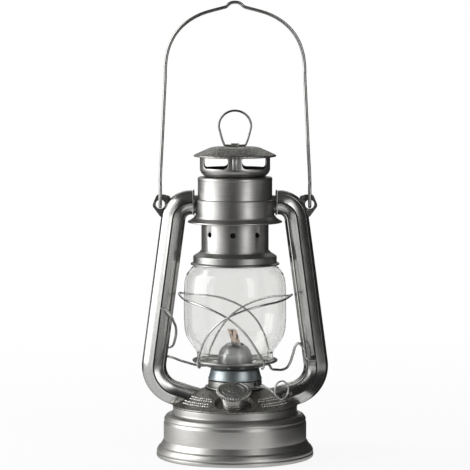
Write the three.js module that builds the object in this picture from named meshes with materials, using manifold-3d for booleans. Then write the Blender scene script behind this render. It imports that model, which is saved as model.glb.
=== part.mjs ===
import * as THREE from 'three';
import { mergeVertices } from 'three/addons/utils/BufferGeometryUtils.js';
import Module from 'manifold-3d';

// A small tubular hurricane lantern, 374 mm tall with its bail upright.
// Millimetres, +Z up. The origin is the middle of the foot, on the surface the lantern stands on.
// The front, with the filler cap, looks along -Y, and the side tubes stand on the X axis.

const wasm = await Module();
wasm.setup();

// Values shared by all pieces
const seatGap = 0.3; // between two pieces that touch
const sheet = 0.7; // wall of the pressed steel shells
const overrun = 6; // how far a cutting shape runs past what it cuts
const sweepTilt = 0.001; // lifts the start of a level sweep, so that its section stays upright
const roundingShare = 1e-9; // rounding left over when a share is turned into a step
const bendRoomShare = 0.48; // the most of a straight run that one rounded bend may take
const wideSteps = 24; // facets round the large revolved pieces, a multiple of the chimney's holes
const midSteps = 20; // facets round the burner, the filler and hidden pieces
const smallSteps = 8; // facets round small bores and pins
const wireSides = 6; // sides of a bent wire

// Tank: a drawn wall with a flared foot, a bottom plate, an inner lid and a domed air chamber
const tank = {
  footRadius: 64.5,
  footLipWidth: 3.5,
  footEdge: 1,
  footHeight: 5,
  flareTopHeight: 15.6,
  creaseHeight: 29.4,
  creaseDepth: 0.6,
  wallRadius: 58.6,
  drawIn: 0.15,
  shoulderHeight: 32.4,
  shoulderRadius: 54.4,
  neckRadius: 51,
  neckHeight: 39,
  rimHeight: 41.5,
};

const tankBottom = {
  rimWidth: 6,
  dishWidth: 6.5,
  dishRise: 3.15,
};

const tankLid = {
  radius: 49.6,
  height: 36.8,
  flangeHeight: 2.6,
  flangeDrop: 1.6,
};

const dome = {
  seamRadius: 51.4,
  seamHeight: 1.6,
  topRadius: 24,
  topHeight: 56.4,
  mouthRadius: 22.6,
  shoulderShares: [[0.89, 0.18], [0.67, 0.43], [0.44, 0.66], [0.22, 0.85], [0, 0.97]],
};

// Filler: everything is measured along its own axis, which leans to the front
const filler = {
  x: -1.2,
  y: -37.5,
  height: 46.9,
  lean: 23,
  pocketRadius: 11.6,
  neckRadius: 9.4,
  boreRadius: 8.2,
  flangeRadius: 10.9,
  flangeHeight: 1.1,
  stemRadius: 8.6,
  stemDepth: 9.5,
  neckHeight: 9.4,
  threadPitch: 2,
  threadDepth: 0.6,
  threadTurns: 4,
};

const fillerGasket = {
  height: 1,
  innerRadius: 8.5,
  outerRadius: 10.2,
};

const fillerCap = {
  radius: 14.3,
  height: 3.2,
  scallops: 24,
  scallopDepth: 0.8,
  crownRadius: 10.6,
  crownHeight: 0.9,
  plugRadius: 7.6,
  plugDepth: 5,
};

// Burner
const burner = {
  collarRadius: 18.4,
  collarFlange: 3,
  collarHeight: 52.6,
  radius: 22,
  bottomHeight: 53.6,
  beltHeight: 63,
  beltGap: 0.5,
  galleryTopRadius: 19.9,
  topHeight: 72.7,
  topMouthRadius: 15.4,
  skirtRadius: 17,
  skirtDepth: 4.6,
  seatHeight: 1.1,
};

// Wick drive. The wick's broad side is turned away from the front by its yaw.
const wickDrive = {
  yaw: -27,
  width: 12,
  thickness: 2.6,
  topHeight: 104.5,
  bottomHeight: 24,
  tubeWall: 0.5,
  tubeClearance: 0.3,
  tubeTopHeight: 83,
  tubeBottomHeight: 44,
  wheelRadius: 4.2,
  wheelBore: 1,
  wheelWidth: 1.6,
  wheelTeeth: 10,
  toothDepth: 1,
  wheelOffset: 3.4,
  shaftHeight: 58.6,
  shaftRadius: 0.7,
  shaftInnerEnd: 8,
  bendReach: 34,
  knobReach: 45.2,
  knobRadius: 7,
  knobGapShare: 0.06,
  knobSteps: 14,
  elbowRun: 6,
  slotHeight: 6.6,
  windowClearance: 1.2,
  slotWidth: 2.6,
};

// Globe plate and burner dome, which rise together with the globe
const plate = {
  radius: 35,
  rimHeight: 78.8,
  rimRise: 1.7,
  rimBead: 1.1,
  hubRadius: 20.6,
  hubHeight: 73.1,
  boreRadius: 16.2,
  dishRadius: 33.2,
  holeCount: 14,
  holeRadius: 1.7,
  holeCircle: 26.6,
};

const flameDome = {
  radius: 14,
  flangeRadius: 18.6,
  wallTopHeight: 80.6,
  slotLength: 15.4,
  slotWidth: 4.6,
};

// Globe: outline as shares of its greatest radius and of its height
const globe = {
  radius: 41.9,
  bottomHeight: 79.1,
  topHeight: 163.6,
  wall: 1.6,
  outlineShares: [
    [0.745, 0], [0.745, 0.08], [0.835, 0.148], [0.905, 0.195], [0.955, 0.24],
    [0.985, 0.3], [1, 0.42], [0.998, 0.66], [0.984, 0.775], [0.945, 0.84],
    [0.85, 0.9], [0.775, 0.935], [0.762, 1],
  ],
};

// Guard: two crossed wire loops round the globe, standing on the rim of the globe plate
const guard = {
  wireRadius: 0.85,
  yaw: -8.5,
  tipRadius: 46.2,
  tipHeight: 133.5,
  footRadius: 36.2,
  footHeight: 80.6,
  hookRadius: 33.9,
  hookDrop: 5.4,
  globeGap: 0.75,
  crossingGap: 0.4,
  footAngle: 138,
  angleShares: [0, 0.1, 0.22, 0.34, 0.45, 0.56, 0.66, 0.75, 0.84, 0.92, 0.98],
  heightShares: [1, 0.97, 0.935, 0.91, 0.87, 0.8, 0.7, 0.56, 0.36, 0.17, 0.05],
  radialShares: [1, 0.4, 0, 0, 0, 0, 0, 0, 0, 0, 0],
  neckShares: [0, 0, 0, 0, 0, 0, 0, 0.05, 0.3, 0.68, 0.94],
};

// Lift lever: a bent wire that turns in two eyes, one behind the left tube and one before the right
const lever = {
  wireRadius: 1.05,
  yaw: 10.5,
  leftEye: 61.4,
  rightEye: 64.8,
  axisHeight: 80.5,
  crankHeight: 73.55,
  crankReach: 25,
  crankHalf: 19,
  eyeLength: 4.4,
  eyeClearance: 0.6,
  eyeWall: 0.8,
  eyeGap: 0.25,
  tabHeight: 6.4,
  tabThickness: 0.8,
  bend: 3,
  // bends in the lantern's x and y, and up from the axis
  thumbPlaces: [
    [-60.6, -11.5, 42.9], [-54, -11, 38.5], [-50.2, -5, 30.7], [-48.4, 0.5, 24.3],
    [-49.3, 5.5, 14.9], [-52.3, 9, 8.2],
  ],
  humpPlaces: [
    [30.1, 11, -10.2], [33.3, 6, -10.3], [41.7, -2, -8.2], [44.4, -4, -4.6], [47.6, -7, 5],
    [49.5, -8.6, 11.2], [51.7, -9.8, 13.4], [54, -11.4, 12.2], [56.8, -12.6, 6.8],
  ],
  // bends as shares of the crank's half length and of its reach
  crankShares: [[-2.4, 0.3], [-1.5, 0.8], [-1, 1], [1, 1], [1.3, 0.86]],
  crankRise: 2.4,
  turnOffset: 0.6,
  turnRise: 5.2,
  endRise: 1.6,
};

// Side tubes: a lobed section swept from the hood round an elbow, down and into the dome
const sideTube = {
  outerReach: 9.6,
  innerReach: 11.2,
  outerHalfDepth: 9.6,
  innerHalfDepth: 8.3,
  creaseShift: -0.8,
  creaseStartShare: 0.06,
  lobeSteps: 5,
  wall: 0.7,
  startX: 34.7,
  topHeight: 209,
  elbowX: 35.8,
  elbowRadius: 15.1,
  lean: 7.6,
  legBottomHeight: 77.3,
  bendRadius: 23.7,
  entryDrop: 17.5,
  entryRun: 30,
  bendSteps: 5,
};

const tubeCollar = {
  flangeThickness: 1.3,
  flangeMargin: 0.4,
  flangeX: 33.1,
  neckInnerX: 29.2,
  neckHeightShare: 0.68,
  neckDepthShare: 0.74,
  boreShare: 0.86,
  neckDrop: 2,
};

// Hood, skirt and the sliding chimney
const hood = {
  bottomHeight: 196.4,
  lowerRadius: 32.2,
  stepHeight: 209.2,
  stepRise: 0.9,
  upperRadius: 30.4,
  bandHeight: 226,
  bandDepth: 0.5,
  topHeight: 229.5,
  cornerRadius: 1.9,
  mouthRadius: 24.4,
};

const skirt = {
  radius: 38.7,
  drop: 4.2,
  flareHeight: 3.8,
  height: 5.6,
  edgeBead: 0.7,
};

const chimney = {
  radius: 27.5,
  bottomHeight: 165.2,
  shoulderHeight: 199.4,
  cornerRadius: 1.4,
  holeCount: 8,
  holeRadius: 2.3,
  holeHeight: 183.3,
  holeYaw: -3.5,
};

const draftTube = {
  radius: 23.2,
  bottomHeight: 196.2,
  topHeight: 233.4,
};

const globeCollar = {
  topRadius: 28.6,
  topHeight: 169.2,
  coneTopHeight: 167.9,
  wallRadius: 34.2,
  wallTopHeight: 164.9,
  wallBottomHeight: 159.4,
  lipRadius: 36.4,
  lipHeight: 158.4,
  lipEdge: 0.8,
};

const spring = {
  wireRadius: 0.6,
  turns: 4,
  stepsPerTurn: 8,
  sides: 5,
  radialGap: 2.3,
};

const crown = {
  radius: 28.7,
  bottomHeight: 229.9,
  footRadius: 24.2,
  wallBottomHeight: 234.6,
  windowBottomHeight: 236.8,
  windowTopHeight: 245.4,
  topHeight: 247.9,
  postAngle: 24.6,
  windowAngle: 49.1,
  windowCorner: 2.6,
  ribDepth: 0.8,
  ribWidth: 2.4,
  cutStartShare: 0.7,
  cutDepthShare: 0.5,
};

const cap = {
  rimRadius: 33.7,
  rimHeight: 246.9,
  rimBead: 1,
  flatRadius: 18.6,
  topHeight: 253.9,
  edgeRound: 1.6,
  wall: 0.7,
};

const lidRing = {
  wireRadius: 0.8,
  archRadius: 12.4,
  archHeight: 271,
  footHalfWidth: 8.9,
  archSteps: 11,
  archEndAngle: -20,
  joinGap: 0.8,
};

const strap = {
  width: 6.4,
  thickness: 0.8,
  footLength: 3.4,
};

// Bail and its ears
const ear = {
  thickness: 1,
  holeX: 61,
  holeHeight: 207,
  holeRadius: 3.7,
  topHeight: 215,
  topInnerX: 53,
  topOuterX: 63.4,
  tipX: 67.3,
  tipHeight: 205.8,
  footX: 60.4,
  topFlatWidth: 6,
  footHeight: 196.4,
};

const bail = {
  wireRadius: 1.35,
  loopHalfGap: 3.75,
  loopBottomHeight: 204.9,
  loopTopHeight: 226.5,
  loopEndHeight: 223.4,
  legTopHeight: 308,
  legTopX: 56.9,
  archTopHeight: 368,
  archFullness: 0.8,
  humpHalfWidth: 10.4,
  humpTopHeight: 372.7,
  humpWidthShares: [1, 0.72, 0.44, 0.2],
  humpHeightShares: [0, 0.2, 0.75, 0.97],
  archSteps: 9,
  loopSteps: 6,
  loopEndShare: 0.3,
  endRun: 6,
  kinkRun: 9,
};

// Colours, as the finished lantern shows them
const zinc = { color: 0x9a9a96, roughness: 0.38, metalness: 0.9 };
const darkSteel = { color: 0x6f706d, roughness: 0.3, metalness: 0.95 };
const blueZinc = { color: 0xa9b3b5, roughness: 0.35, metalness: 0.85 };
const paleWire = { color: 0xb9b9b5, roughness: 0.28, metalness: 0.95 };
const brass = { color: 0xb39a5c, roughness: 0.4, metalness: 0.9 };
const glass = { color: 0xe9f0f0, roughness: 0.04, metalness: 0 };
const cotton = { color: 0xe6d3c3, roughness: 0.95, metalness: 0 };
const rubber = { color: 0x25221f, roughness: 0.85, metalness: 0 };

// Geometry helpers

function signedVolume(geometry) {
  const position = geometry.getAttribute('position');
  const index = geometry.getIndex();
  const [a, b, c] = [new THREE.Vector3(), new THREE.Vector3(), new THREE.Vector3()];
  let volume = 0;
  for (let i = 0; i < index.count; i += 3) {
    a.fromBufferAttribute(position, index.getX(i));
    b.fromBufferAttribute(position, index.getX(i + 1));
    c.fromBufferAttribute(position, index.getX(i + 2));
    volume += a.dot(b.cross(c)) / 6;
  }
  return volume;
}

function flipFaces(geometry) {
  const index = geometry.getIndex();
  for (let i = 0; i < index.count; i += 3) {
    const second = index.getX(i + 1);
    index.setX(i + 1, index.getX(i + 2));
    index.setX(i + 2, second);
  }
}

// Keeps only welded positions, with every face pointing out.
function welded(geometry) {
  geometry.deleteAttribute('normal');
  geometry.deleteAttribute('uv');
  const closed = mergeVertices(geometry);
  if (signedVolume(closed) < 0) flipFaces(closed);
  return closed;
}

function solid(geometry) {
  const closed = welded(geometry);
  const mesh = new wasm.Mesh({
    numProp: 3,
    vertProperties: new Float32Array(closed.getAttribute('position').array),
    triVerts: new Uint32Array(closed.getIndex().array),
  });
  mesh.merge();
  return new wasm.Manifold(mesh);
}

function surface(body) {
  const mesh = body.getMesh();
  const geometry = new THREE.BufferGeometry();
  geometry.setAttribute('position', new THREE.BufferAttribute(mesh.vertProperties, mesh.numProp));
  geometry.setIndex(new THREE.BufferAttribute(mesh.triVerts, 1));
  return geometry;
}

function radians(degrees) {
  return THREE.MathUtils.degToRad(degrees);
}

// Revolves a closed outline of [radius, height] points round the Z axis.
function revolve(outline, steps) {
  const points = outline.map(([radius, height]) => new THREE.Vector2(radius, height));
  points.push(points[0].clone());
  return new THREE.LatheGeometry(points, steps).rotateX(Math.PI / 2);
}

function revolvedSolid(outline, steps) {
  return solid(revolve(outline, steps));
}

// Offsets an open outline sideways; a positive distance is to the left of its direction.
function offsetOutline(outline, distance) {
  const side = (from, to) => {
    const along = new THREE.Vector2(to[0] - from[0], to[1] - from[1]).normalize();
    return new THREE.Vector2(-along.y, along.x);
  };
  return outline.map((point, i) => {
    const before = side(outline[Math.max(i - 1, 0)], outline[Math.max(i, 1)]);
    const last = outline.length - 1;
    const after = side(outline[Math.min(i, last - 1)], outline[Math.min(i + 1, last)]);
    const mitre = before.clone().add(after).normalize();
    const reach = distance / Math.max(mitre.dot(before), Math.SQRT1_2);
    const radius = point[0] === 0 ? 0 : point[0] + mitre.x * reach;
    return [radius, point[1] + mitre.y * reach];
  });
}

// A shell of even wall on the left of an open outline. Its inner side may skip small embossing
// by keeping only some of the outline's points.
function shell(outline, wall, kept = outline.map((_, i) => i)) {
  const inner = offsetOutline(outline, wall);
  return [...outline, ...kept.map((i) => inner[i]).reverse()];
}

// An arc of [radius, height] points, from one angle to another.
function arc(centreRadius, centreHeight, radius, fromDegrees, toDegrees, steps) {
  return Array.from({ length: steps + 1 }, (_, i) => {
    const angle = radians(fromDegrees + ((toDegrees - fromDegrees) * i) / steps);
    return [centreRadius + radius * Math.cos(angle), centreHeight + radius * Math.sin(angle)];
  });
}

function extrude(shape, depth, curveSegments = smallSteps) {
  return new THREE.ExtrudeGeometry(shape, { depth, bevelEnabled: false, curveSegments });
}

function circle(radius) {
  return new THREE.Shape().absarc(0, 0, radius, 0, Math.PI * 2);
}

function rectangle(width, height) {
  const shape = new THREE.Shape();
  shape.moveTo(-width / 2, -height / 2);
  shape.lineTo(width / 2, -height / 2);
  shape.lineTo(width / 2, height / 2);
  shape.lineTo(-width / 2, height / 2);
  shape.closePath();
  return shape;
}

function polygon(points) {
  return new THREE.Shape(points.map(([x, y]) => new THREE.Vector2(x, y)));
}

// A bar lying along +X from x = 0, for bores across the axis.
function crossBar(radius, length, steps = smallSteps) {
  return extrude(circle(radius), length, steps).rotateY(Math.PI / 2);
}

// A path whose steps land on the given points, so that straight runs need no facets.
class PointPath extends THREE.Curve {
  constructor(points) {
    super();
    this.points = points;
  }

  getPoint(share) {
    const place = share * (this.points.length - 1);
    const from = Math.min(Math.floor(place + roundingShare), this.points.length - 2);
    return this.points[from].clone().lerp(this.points[from + 1], place - from);
  }

  getPointAt(share) {
    return this.getPoint(share);
  }

  getTangent(share) {
    const last = this.points.length - 1;
    const at = Math.round(share * last);
    const before = this.points[Math.max(at, 1)].clone().sub(this.points[Math.max(at - 1, 0)]);
    const after = this.points[Math.min(at + 1, last)].clone().sub(this.points[Math.min(at, last - 1)]);
    return before.normalize().add(after.normalize()).normalize();
  }

  getTangentAt(share) {
    return this.getTangent(share);
  }
}

function sweep(section, points) {
  const extrudePath = new PointPath(points);
  return new THREE.ExtrudeGeometry(section, { steps: points.length - 1, extrudePath });
}

function wire(points, radius, sides = wireSides) {
  const corners = Array.from({ length: sides }, (_, i) => {
    const angle = (Math.PI * 2 * i) / sides;
    return [radius * Math.cos(angle), radius * Math.sin(angle)];
  });
  return sweep(polygon(corners), points);
}

function vectors(places) {
  return places.map(([x, y, z]) => new THREE.Vector3(x, y, z));
}

// Rounds each inner corner of a wire's route into an arc.
function roundedRoute(corners, bendRadius, stepsPerBend = 3) {
  const route = [corners[0]];
  for (let i = 1; i < corners.length - 1; i += 1) {
    const back = corners[i - 1].clone().sub(corners[i]);
    const ahead = corners[i + 1].clone().sub(corners[i]);
    const halfTurn = (Math.PI - back.angleTo(ahead)) / 2;
    const room = Math.min(back.length(), ahead.length()) * bendRoomShare;
    const setBack = Math.min(bendRadius * Math.tan(halfTurn), room);
    const start = corners[i].clone().addScaledVector(back.normalize(), setBack);
    const end = corners[i].clone().addScaledVector(ahead.normalize(), setBack);
    const bend = new THREE.QuadraticBezierCurve3(start, corners[i], end);
    route.push(...bend.getPoints(stepsPerBend));
  }
  route.push(corners[corners.length - 1]);
  return route;
}

function smoothRoute(places, steps) {
  return new THREE.CatmullRomCurve3(places, false, 'centripetal').getPoints(steps);
}

function mirrored(geometry) {
  return welded(geometry.clone().scale(-1, 1, 1));
}

const lantern = new THREE.Group();

function addPart(name, geometry, finish, parent = lantern) {
  const mesh = new THREE.Mesh(welded(geometry), new THREE.MeshStandardMaterial(finish));
  mesh.name = name;
  parent.add(mesh);
  return mesh;
}

// Tank

function tankWall() {
  const upperRadius = tank.wallRadius - tank.drawIn;
  const outline = [
    [tank.footRadius - tank.footLipWidth, 0],
    [tank.footRadius - tank.footEdge, 0],
    [tank.footRadius, tank.footEdge],
    [tank.footRadius, tank.footHeight - tank.footEdge],
    [tank.footRadius - tank.footEdge, tank.footHeight],
    ...arc(tank.footRadius - tank.footEdge - (tank.flareTopHeight - tank.footHeight) / 2,
      tank.footHeight, (tank.flareTopHeight - tank.footHeight) / 2, 30, 70, 1),
    [tank.wallRadius, tank.flareTopHeight],
    [tank.wallRadius, tank.creaseHeight - tank.creaseDepth],
    [tank.wallRadius - tank.creaseDepth, tank.creaseHeight],
    [upperRadius, tank.creaseHeight + tank.creaseDepth],
    ...arc(tank.shoulderRadius, tank.shoulderHeight - tank.creaseDepth,
      upperRadius - tank.shoulderRadius, 30, 75, 1),
    [tank.neckRadius, tank.neckHeight - tank.creaseDepth],
    [tank.neckRadius, tank.rimHeight],
  ];
  return revolve(shell(outline, sheet, [0, 1, 3, 5, 6, 7, 11, 12, 13, 14]), wideSteps);
}

function tankBottomPlate() {
  const radius = tank.footRadius - tank.footEdge - sheet - seatGap;
  const seatHeight = sheet + seatGap;
  const dishRadius = radius - tankBottom.rimWidth;
  const outline = [
    [0, seatHeight + tankBottom.dishRise],
    [dishRadius - tankBottom.dishWidth, seatHeight + tankBottom.dishRise],
    [dishRadius, seatHeight],
    [radius, seatHeight],
  ];
  return revolve(shell(outline, sheet), midSteps);
}

// Places a shape made along +Z on the filler's leaning axis.
function onFillerAxis(geometry) {
  return geometry.rotateX(radians(filler.lean)).translate(filler.x, filler.y, filler.height);
}

function fillerBore(radius) {
  return extrude(circle(radius), overrun * 4, midSteps).translate(0, 0, -overrun * 2);
}

function tankLidPlate() {
  const outline = [
    [burner.collarRadius - sheet, tankLid.height],
    [tankLid.radius - tankLid.flangeDrop, tankLid.height],
    [tankLid.radius, tankLid.height + tankLid.flangeDrop],
    [tankLid.radius, tankLid.height + tankLid.flangeHeight],
  ];
  const lid = revolvedSolid(shell(outline, sheet), midSteps);
  return surface(lid.subtract(solid(onFillerAxis(fillerBore(filler.stemRadius + seatGap)))));
}

function domeOutline() {
  const drop = dome.topHeight - tank.rimHeight;
  return [
    [dome.seamRadius, tank.rimHeight + seatGap],
    [dome.seamRadius, tank.rimHeight + seatGap + dome.seamHeight / 2],
    [tank.neckRadius - sheet, tank.rimHeight + seatGap + dome.seamHeight],
    ...dome.shoulderShares.map(([radius, height]) => [
      dome.topRadius + (tank.neckRadius - dome.topRadius) * radius,
      tank.rimHeight + drop * height,
    ]),
    [dome.mouthRadius, dome.topHeight],
  ];
}

function lidded(outline) {
  const first = outline[0];
  const last = outline[outline.length - 1];
  return [[0, first[1]], ...outline, [0, last[1]]];
}

function airDome(tubeBores) {
  const outer = domeOutline();
  const inner = offsetOutline(outer, sheet);
  inner[0][1] = outer[0][1] - sheet;
  const pocket = (margin) => {
    const depth = overrun * 4;
    const bore = extrude(circle(filler.pocketRadius + margin), depth, smallSteps * 2);
    return solid(onFillerAxis(bore.translate(0, 0, -margin)));
  };
  const outside = revolvedSolid(lidded(outer), wideSteps).subtract(pocket(0));
  const inside = revolvedSolid(lidded(inner), wideSteps).subtract(pocket(sheet));
  let body = outside.subtract(inside);
  body = body.subtract(revolvedSolid(lidded([
    [dome.mouthRadius, dome.topHeight - overrun],
    [dome.mouthRadius, dome.topHeight + overrun],
  ]), wideSteps));
  body = body.subtract(solid(onFillerAxis(fillerBore(filler.stemRadius + seatGap))));
  for (const bore of tubeBores) body = body.subtract(bore);
  return surface(body);
}

// Filler

function fillerNeck() {
  const outline = [
    [filler.boreRadius, -filler.stemDepth],
    [filler.stemRadius, -filler.stemDepth],
    [filler.stemRadius, seatGap],
    [filler.flangeRadius, seatGap],
    [filler.flangeRadius, seatGap + filler.flangeHeight],
  ];
  const threadStart = filler.neckHeight - filler.threadPitch * filler.threadTurns;
  for (let turn = 0; turn < filler.threadTurns; turn += 1) {
    const height = threadStart + turn * filler.threadPitch;
    outline.push([filler.neckRadius - filler.threadDepth, height]);
    outline.push([filler.neckRadius, height + filler.threadPitch / 2]);
  }
  outline.push([filler.neckRadius - filler.threadDepth, filler.neckHeight]);
  outline.push([filler.boreRadius, filler.neckHeight]);
  return onFillerAxis(revolve(outline, midSteps));
}

function fillerGasketRing() {
  const bottom = filler.neckHeight + seatGap;
  const outline = [
    [fillerGasket.innerRadius, bottom],
    [fillerGasket.outerRadius, bottom],
    [fillerGasket.outerRadius, bottom + fillerGasket.height],
    [fillerGasket.innerRadius, bottom + fillerGasket.height],
  ];
  return onFillerAxis(revolve(outline, midSteps));
}

function fillerCapDisc() {
  const bottom = filler.neckHeight + fillerGasket.height + seatGap * 2;
  const rim = new THREE.Shape();
  const turns = fillerCap.scallops * 3;
  for (let i = 0; i < turns; i += 1) {
    const angle = (Math.PI * 2 * i) / turns;
    const radius = fillerCap.radius - fillerCap.scallopDepth * (i % 3 === 0 ? 1 : 0);
    const place = [radius * Math.cos(angle), radius * Math.sin(angle)];
    if (i === 0) rim.moveTo(...place);
    else rim.lineTo(...place);
  }
  rim.closePath();
  const disc = solid(extrude(rim, fillerCap.height).translate(0, 0, bottom));
  const plug = revolvedSolid(lidded([
    [fillerCap.plugRadius, bottom - fillerCap.plugDepth],
    [fillerCap.plugRadius, bottom + fillerCap.height / 2],
  ]), midSteps);
  const crownRing = revolvedSolid(lidded([
    [fillerCap.crownRadius, bottom + fillerCap.height / 2],
    [fillerCap.crownRadius, bottom + fillerCap.height],
    [fillerCap.crownRadius - fillerCap.crownHeight, bottom + fillerCap.height + fillerCap.crownHeight],
  ]), midSteps);
  return onFillerAxis(surface(disc.add(plug).add(crownRing)));
}

// Burner

function burnerCollar() {
  const outline = [
    [burner.collarRadius - sheet, tankLid.height + sheet + seatGap],
    [burner.collarRadius + burner.collarFlange, tankLid.height + sheet + seatGap],
    [burner.collarRadius + burner.collarFlange, tankLid.height + sheet * 2 + seatGap],
    [burner.collarRadius, tankLid.height + sheet * 2 + seatGap],
    [burner.collarRadius, burner.collarHeight],
    [burner.collarRadius - sheet, burner.collarHeight],
  ];
  return revolve(outline, midSteps);
}

function burnerSeat() {
  const bottom = dome.topHeight + seatGap;
  const outline = [
    [burner.radius + seatGap, bottom],
    [dome.topRadius + sheet, bottom],
    [dome.topRadius + sheet, bottom + burner.seatHeight],
    [burner.radius + seatGap, bottom + burner.seatHeight],
  ];
  return revolve(outline, midSteps);
}

// A box across the wick, for its slots, placed on the wick's turned axes.
function onWickAxes(geometry) {
  return geometry.rotateZ(radians(wickDrive.yaw));
}

// How far the shaft's axis lies in front of the wick's middle plane.
function shaftOffset() {
  return wickDrive.thickness / 2 + seatGap + wickDrive.wheelRadius;
}

function wickSlot(margin) {
  const shape = rectangle(wickDrive.width + margin * 2, wickDrive.thickness + margin * 2);
  const height = wickDrive.topHeight;
  return solid(onWickAxes(extrude(shape, height)));
}

function burnerBase() {
  const skirtInner = burner.skirtRadius - sheet;
  const outline = [
    [skirtInner, burner.collarHeight - burner.skirtDepth],
    [burner.skirtRadius, burner.collarHeight - burner.skirtDepth],
    [burner.skirtRadius, burner.bottomHeight],
    [burner.radius, burner.bottomHeight],
    [burner.radius, burner.beltHeight],
    [burner.radius - sheet, burner.beltHeight],
    [burner.radius - sheet, burner.bottomHeight + sheet],
    [0, burner.bottomHeight + sheet],
    [0, burner.bottomHeight],
    [skirtInner, burner.bottomHeight],
  ];
  let body = revolvedSolid(outline, midSteps);
  body = body.subtract(wickSlot(wickDrive.tubeWall + seatGap + wickDrive.tubeClearance));
  const slot = extrude(rectangle(wickDrive.slotHeight, wickDrive.slotWidth), burner.radius)
    .rotateY(Math.PI / 2)
    .translate(burner.radius / 2, -shaftOffset(), wickDrive.shaftHeight);
  return surface(body.subtract(solid(onWickAxes(slot))));
}

function burnerGallery() {
  const bottom = burner.beltHeight + burner.beltGap;
  const outline = [
    [burner.radius, bottom],
    [burner.radius, bottom + burner.seatHeight],
    [burner.galleryTopRadius, burner.topHeight - burner.seatHeight],
    [burner.galleryTopRadius - burner.beltGap, burner.topHeight],
    [burner.topMouthRadius, burner.topHeight],
  ];
  return revolve(shell(outline, sheet), midSteps);
}

function wickTube() {
  const inner = seatGap;
  const outer = seatGap + wickDrive.tubeWall;
  const size = (margin) => rectangle(wickDrive.width + margin * 2, wickDrive.thickness + margin * 2);
  const height = wickDrive.tubeTopHeight - wickDrive.tubeBottomHeight;
  let body = solid(extrude(size(outer), height).translate(0, 0, wickDrive.tubeBottomHeight));
  body = body.subtract(
    solid(extrude(size(inner), height + overrun * 2)
      .translate(0, 0, wickDrive.tubeBottomHeight - overrun)));
  for (const side of [-1, 1]) {
    const window = extrude(
      rectangle(wickDrive.wheelWidth + wickDrive.windowClearance, shaftOffset() * 2),
      wickDrive.wheelRadius * 2)
      .translate(side * wickDrive.wheelOffset, -shaftOffset(),
        wickDrive.shaftHeight - wickDrive.wheelRadius);
    body = body.subtract(solid(window));
  }
  return onWickAxes(surface(body));
}

function wick() {
  const height = wickDrive.topHeight - wickDrive.bottomHeight;
  const shape = rectangle(wickDrive.width, wickDrive.thickness);
  return onWickAxes(extrude(shape, height).translate(0, 0, wickDrive.bottomHeight));
}

// One piece of wire: the shaft in the burner, a bend, and a round knob square to the shaft.
function wickShaft() {
  const sweepAngle = Math.PI * 2 * (1 - wickDrive.knobGapShare);
  const knob = Array.from({ length: wickDrive.knobSteps + 1 }, (_, i) => {
    const angle = (sweepAngle * i) / wickDrive.knobSteps - Math.PI / 2;
    return [
      wickDrive.knobReach,
      wickDrive.knobRadius * Math.cos(angle),
      wickDrive.knobRadius * Math.sin(angle),
    ];
  });
  const route = vectors([
    [-wickDrive.shaftInnerEnd, 0, 0],
    [wickDrive.bendReach - wickDrive.elbowRun, 0, 0],
    [wickDrive.bendReach, 0, -wickDrive.shaftRadius],
    [
      wickDrive.knobReach - wickDrive.shaftRadius * 3,
      0,
      wickDrive.shaftRadius * 2 - wickDrive.knobRadius,
    ],
    ...knob,
  ]);
  return onWickAxes(wire(route, wickDrive.shaftRadius)
    .translate(0, -shaftOffset(), wickDrive.shaftHeight));
}

function wickWheel(side) {
  const shape = new THREE.Shape();
  const corners = wickDrive.wheelTeeth * 2;
  for (let i = 0; i < corners; i += 1) {
    const angle = (Math.PI * 2 * i) / corners;
    const radius = wickDrive.wheelRadius - wickDrive.toothDepth * (i % 2);
    const place = [radius * Math.cos(angle), radius * Math.sin(angle)];
    if (i === 0) shape.moveTo(...place);
    else shape.lineTo(...place);
  }
  shape.closePath();
  shape.holes.push(new THREE.Path().absarc(0, 0, wickDrive.wheelBore, 0, Math.PI * 2));
  return onWickAxes(extrude(shape, wickDrive.wheelWidth, wireSides)
    .rotateY(Math.PI / 2)
    .translate(side * wickDrive.wheelOffset - wickDrive.wheelWidth / 2, -shaftOffset(),
      wickDrive.shaftHeight));
}

// Globe carriage

function globePlate() {
  const rim = [plate.radius - plate.rimBead, plate.rimHeight - plate.rimBead];
  const outline = [
    [plate.boreRadius, plate.hubHeight],
    [plate.hubRadius, plate.hubHeight],
    [plate.dishRadius, plate.rimHeight - plate.rimBead],
    rim,
    [plate.radius, plate.rimHeight],
    [plate.radius, plate.rimHeight + plate.rimRise / 2],
  ];
  const dish = revolve(shell(outline, sheet), wideSteps);
  let body = solid(dish.rotateZ(Math.PI / wideSteps));
  for (let i = 0; i < plate.holeCount; i += 1) {
    const hole = extrude(circle(plate.holeRadius), overrun * 2, 4)
      .translate(plate.holeCircle, 0, plate.hubHeight - overrun)
      .rotateZ((Math.PI * 2 * i) / plate.holeCount);
    body = body.subtract(solid(hole));
  }
  return surface(body);
}

function burnerDome() {
  const flangeTop = plate.hubHeight + sheet * 2 + seatGap;
  const outline = [
    [flameDome.flangeRadius, flangeTop],
    [flameDome.radius, flangeTop],
    ...arc(0, flameDome.wallTopHeight, flameDome.radius, 0, 90, 5),
  ];
  outline[outline.length - 1][0] = 0;
  const body = revolvedSolid(shell(outline, sheet), midSteps);
  const slot = extrude(rectangle(flameDome.slotLength, flameDome.slotWidth), flameDome.radius * 2)
    .translate(0, 0, flameDome.wallTopHeight);
  return surface(body.subtract(solid(onWickAxes(slot))));
}

function globeOutline() {
  const height = globe.topHeight - globe.bottomHeight;
  return globe.outlineShares.map(([radius, share]) => [
    globe.radius * radius,
    globe.bottomHeight + height * share,
  ]);
}

function globeGlass() {
  return revolve(shell(globeOutline(), globe.wall, [0, 1, 2, 4, 6, 7, 9, 10, 11, 12]), wideSteps);
}

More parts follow.
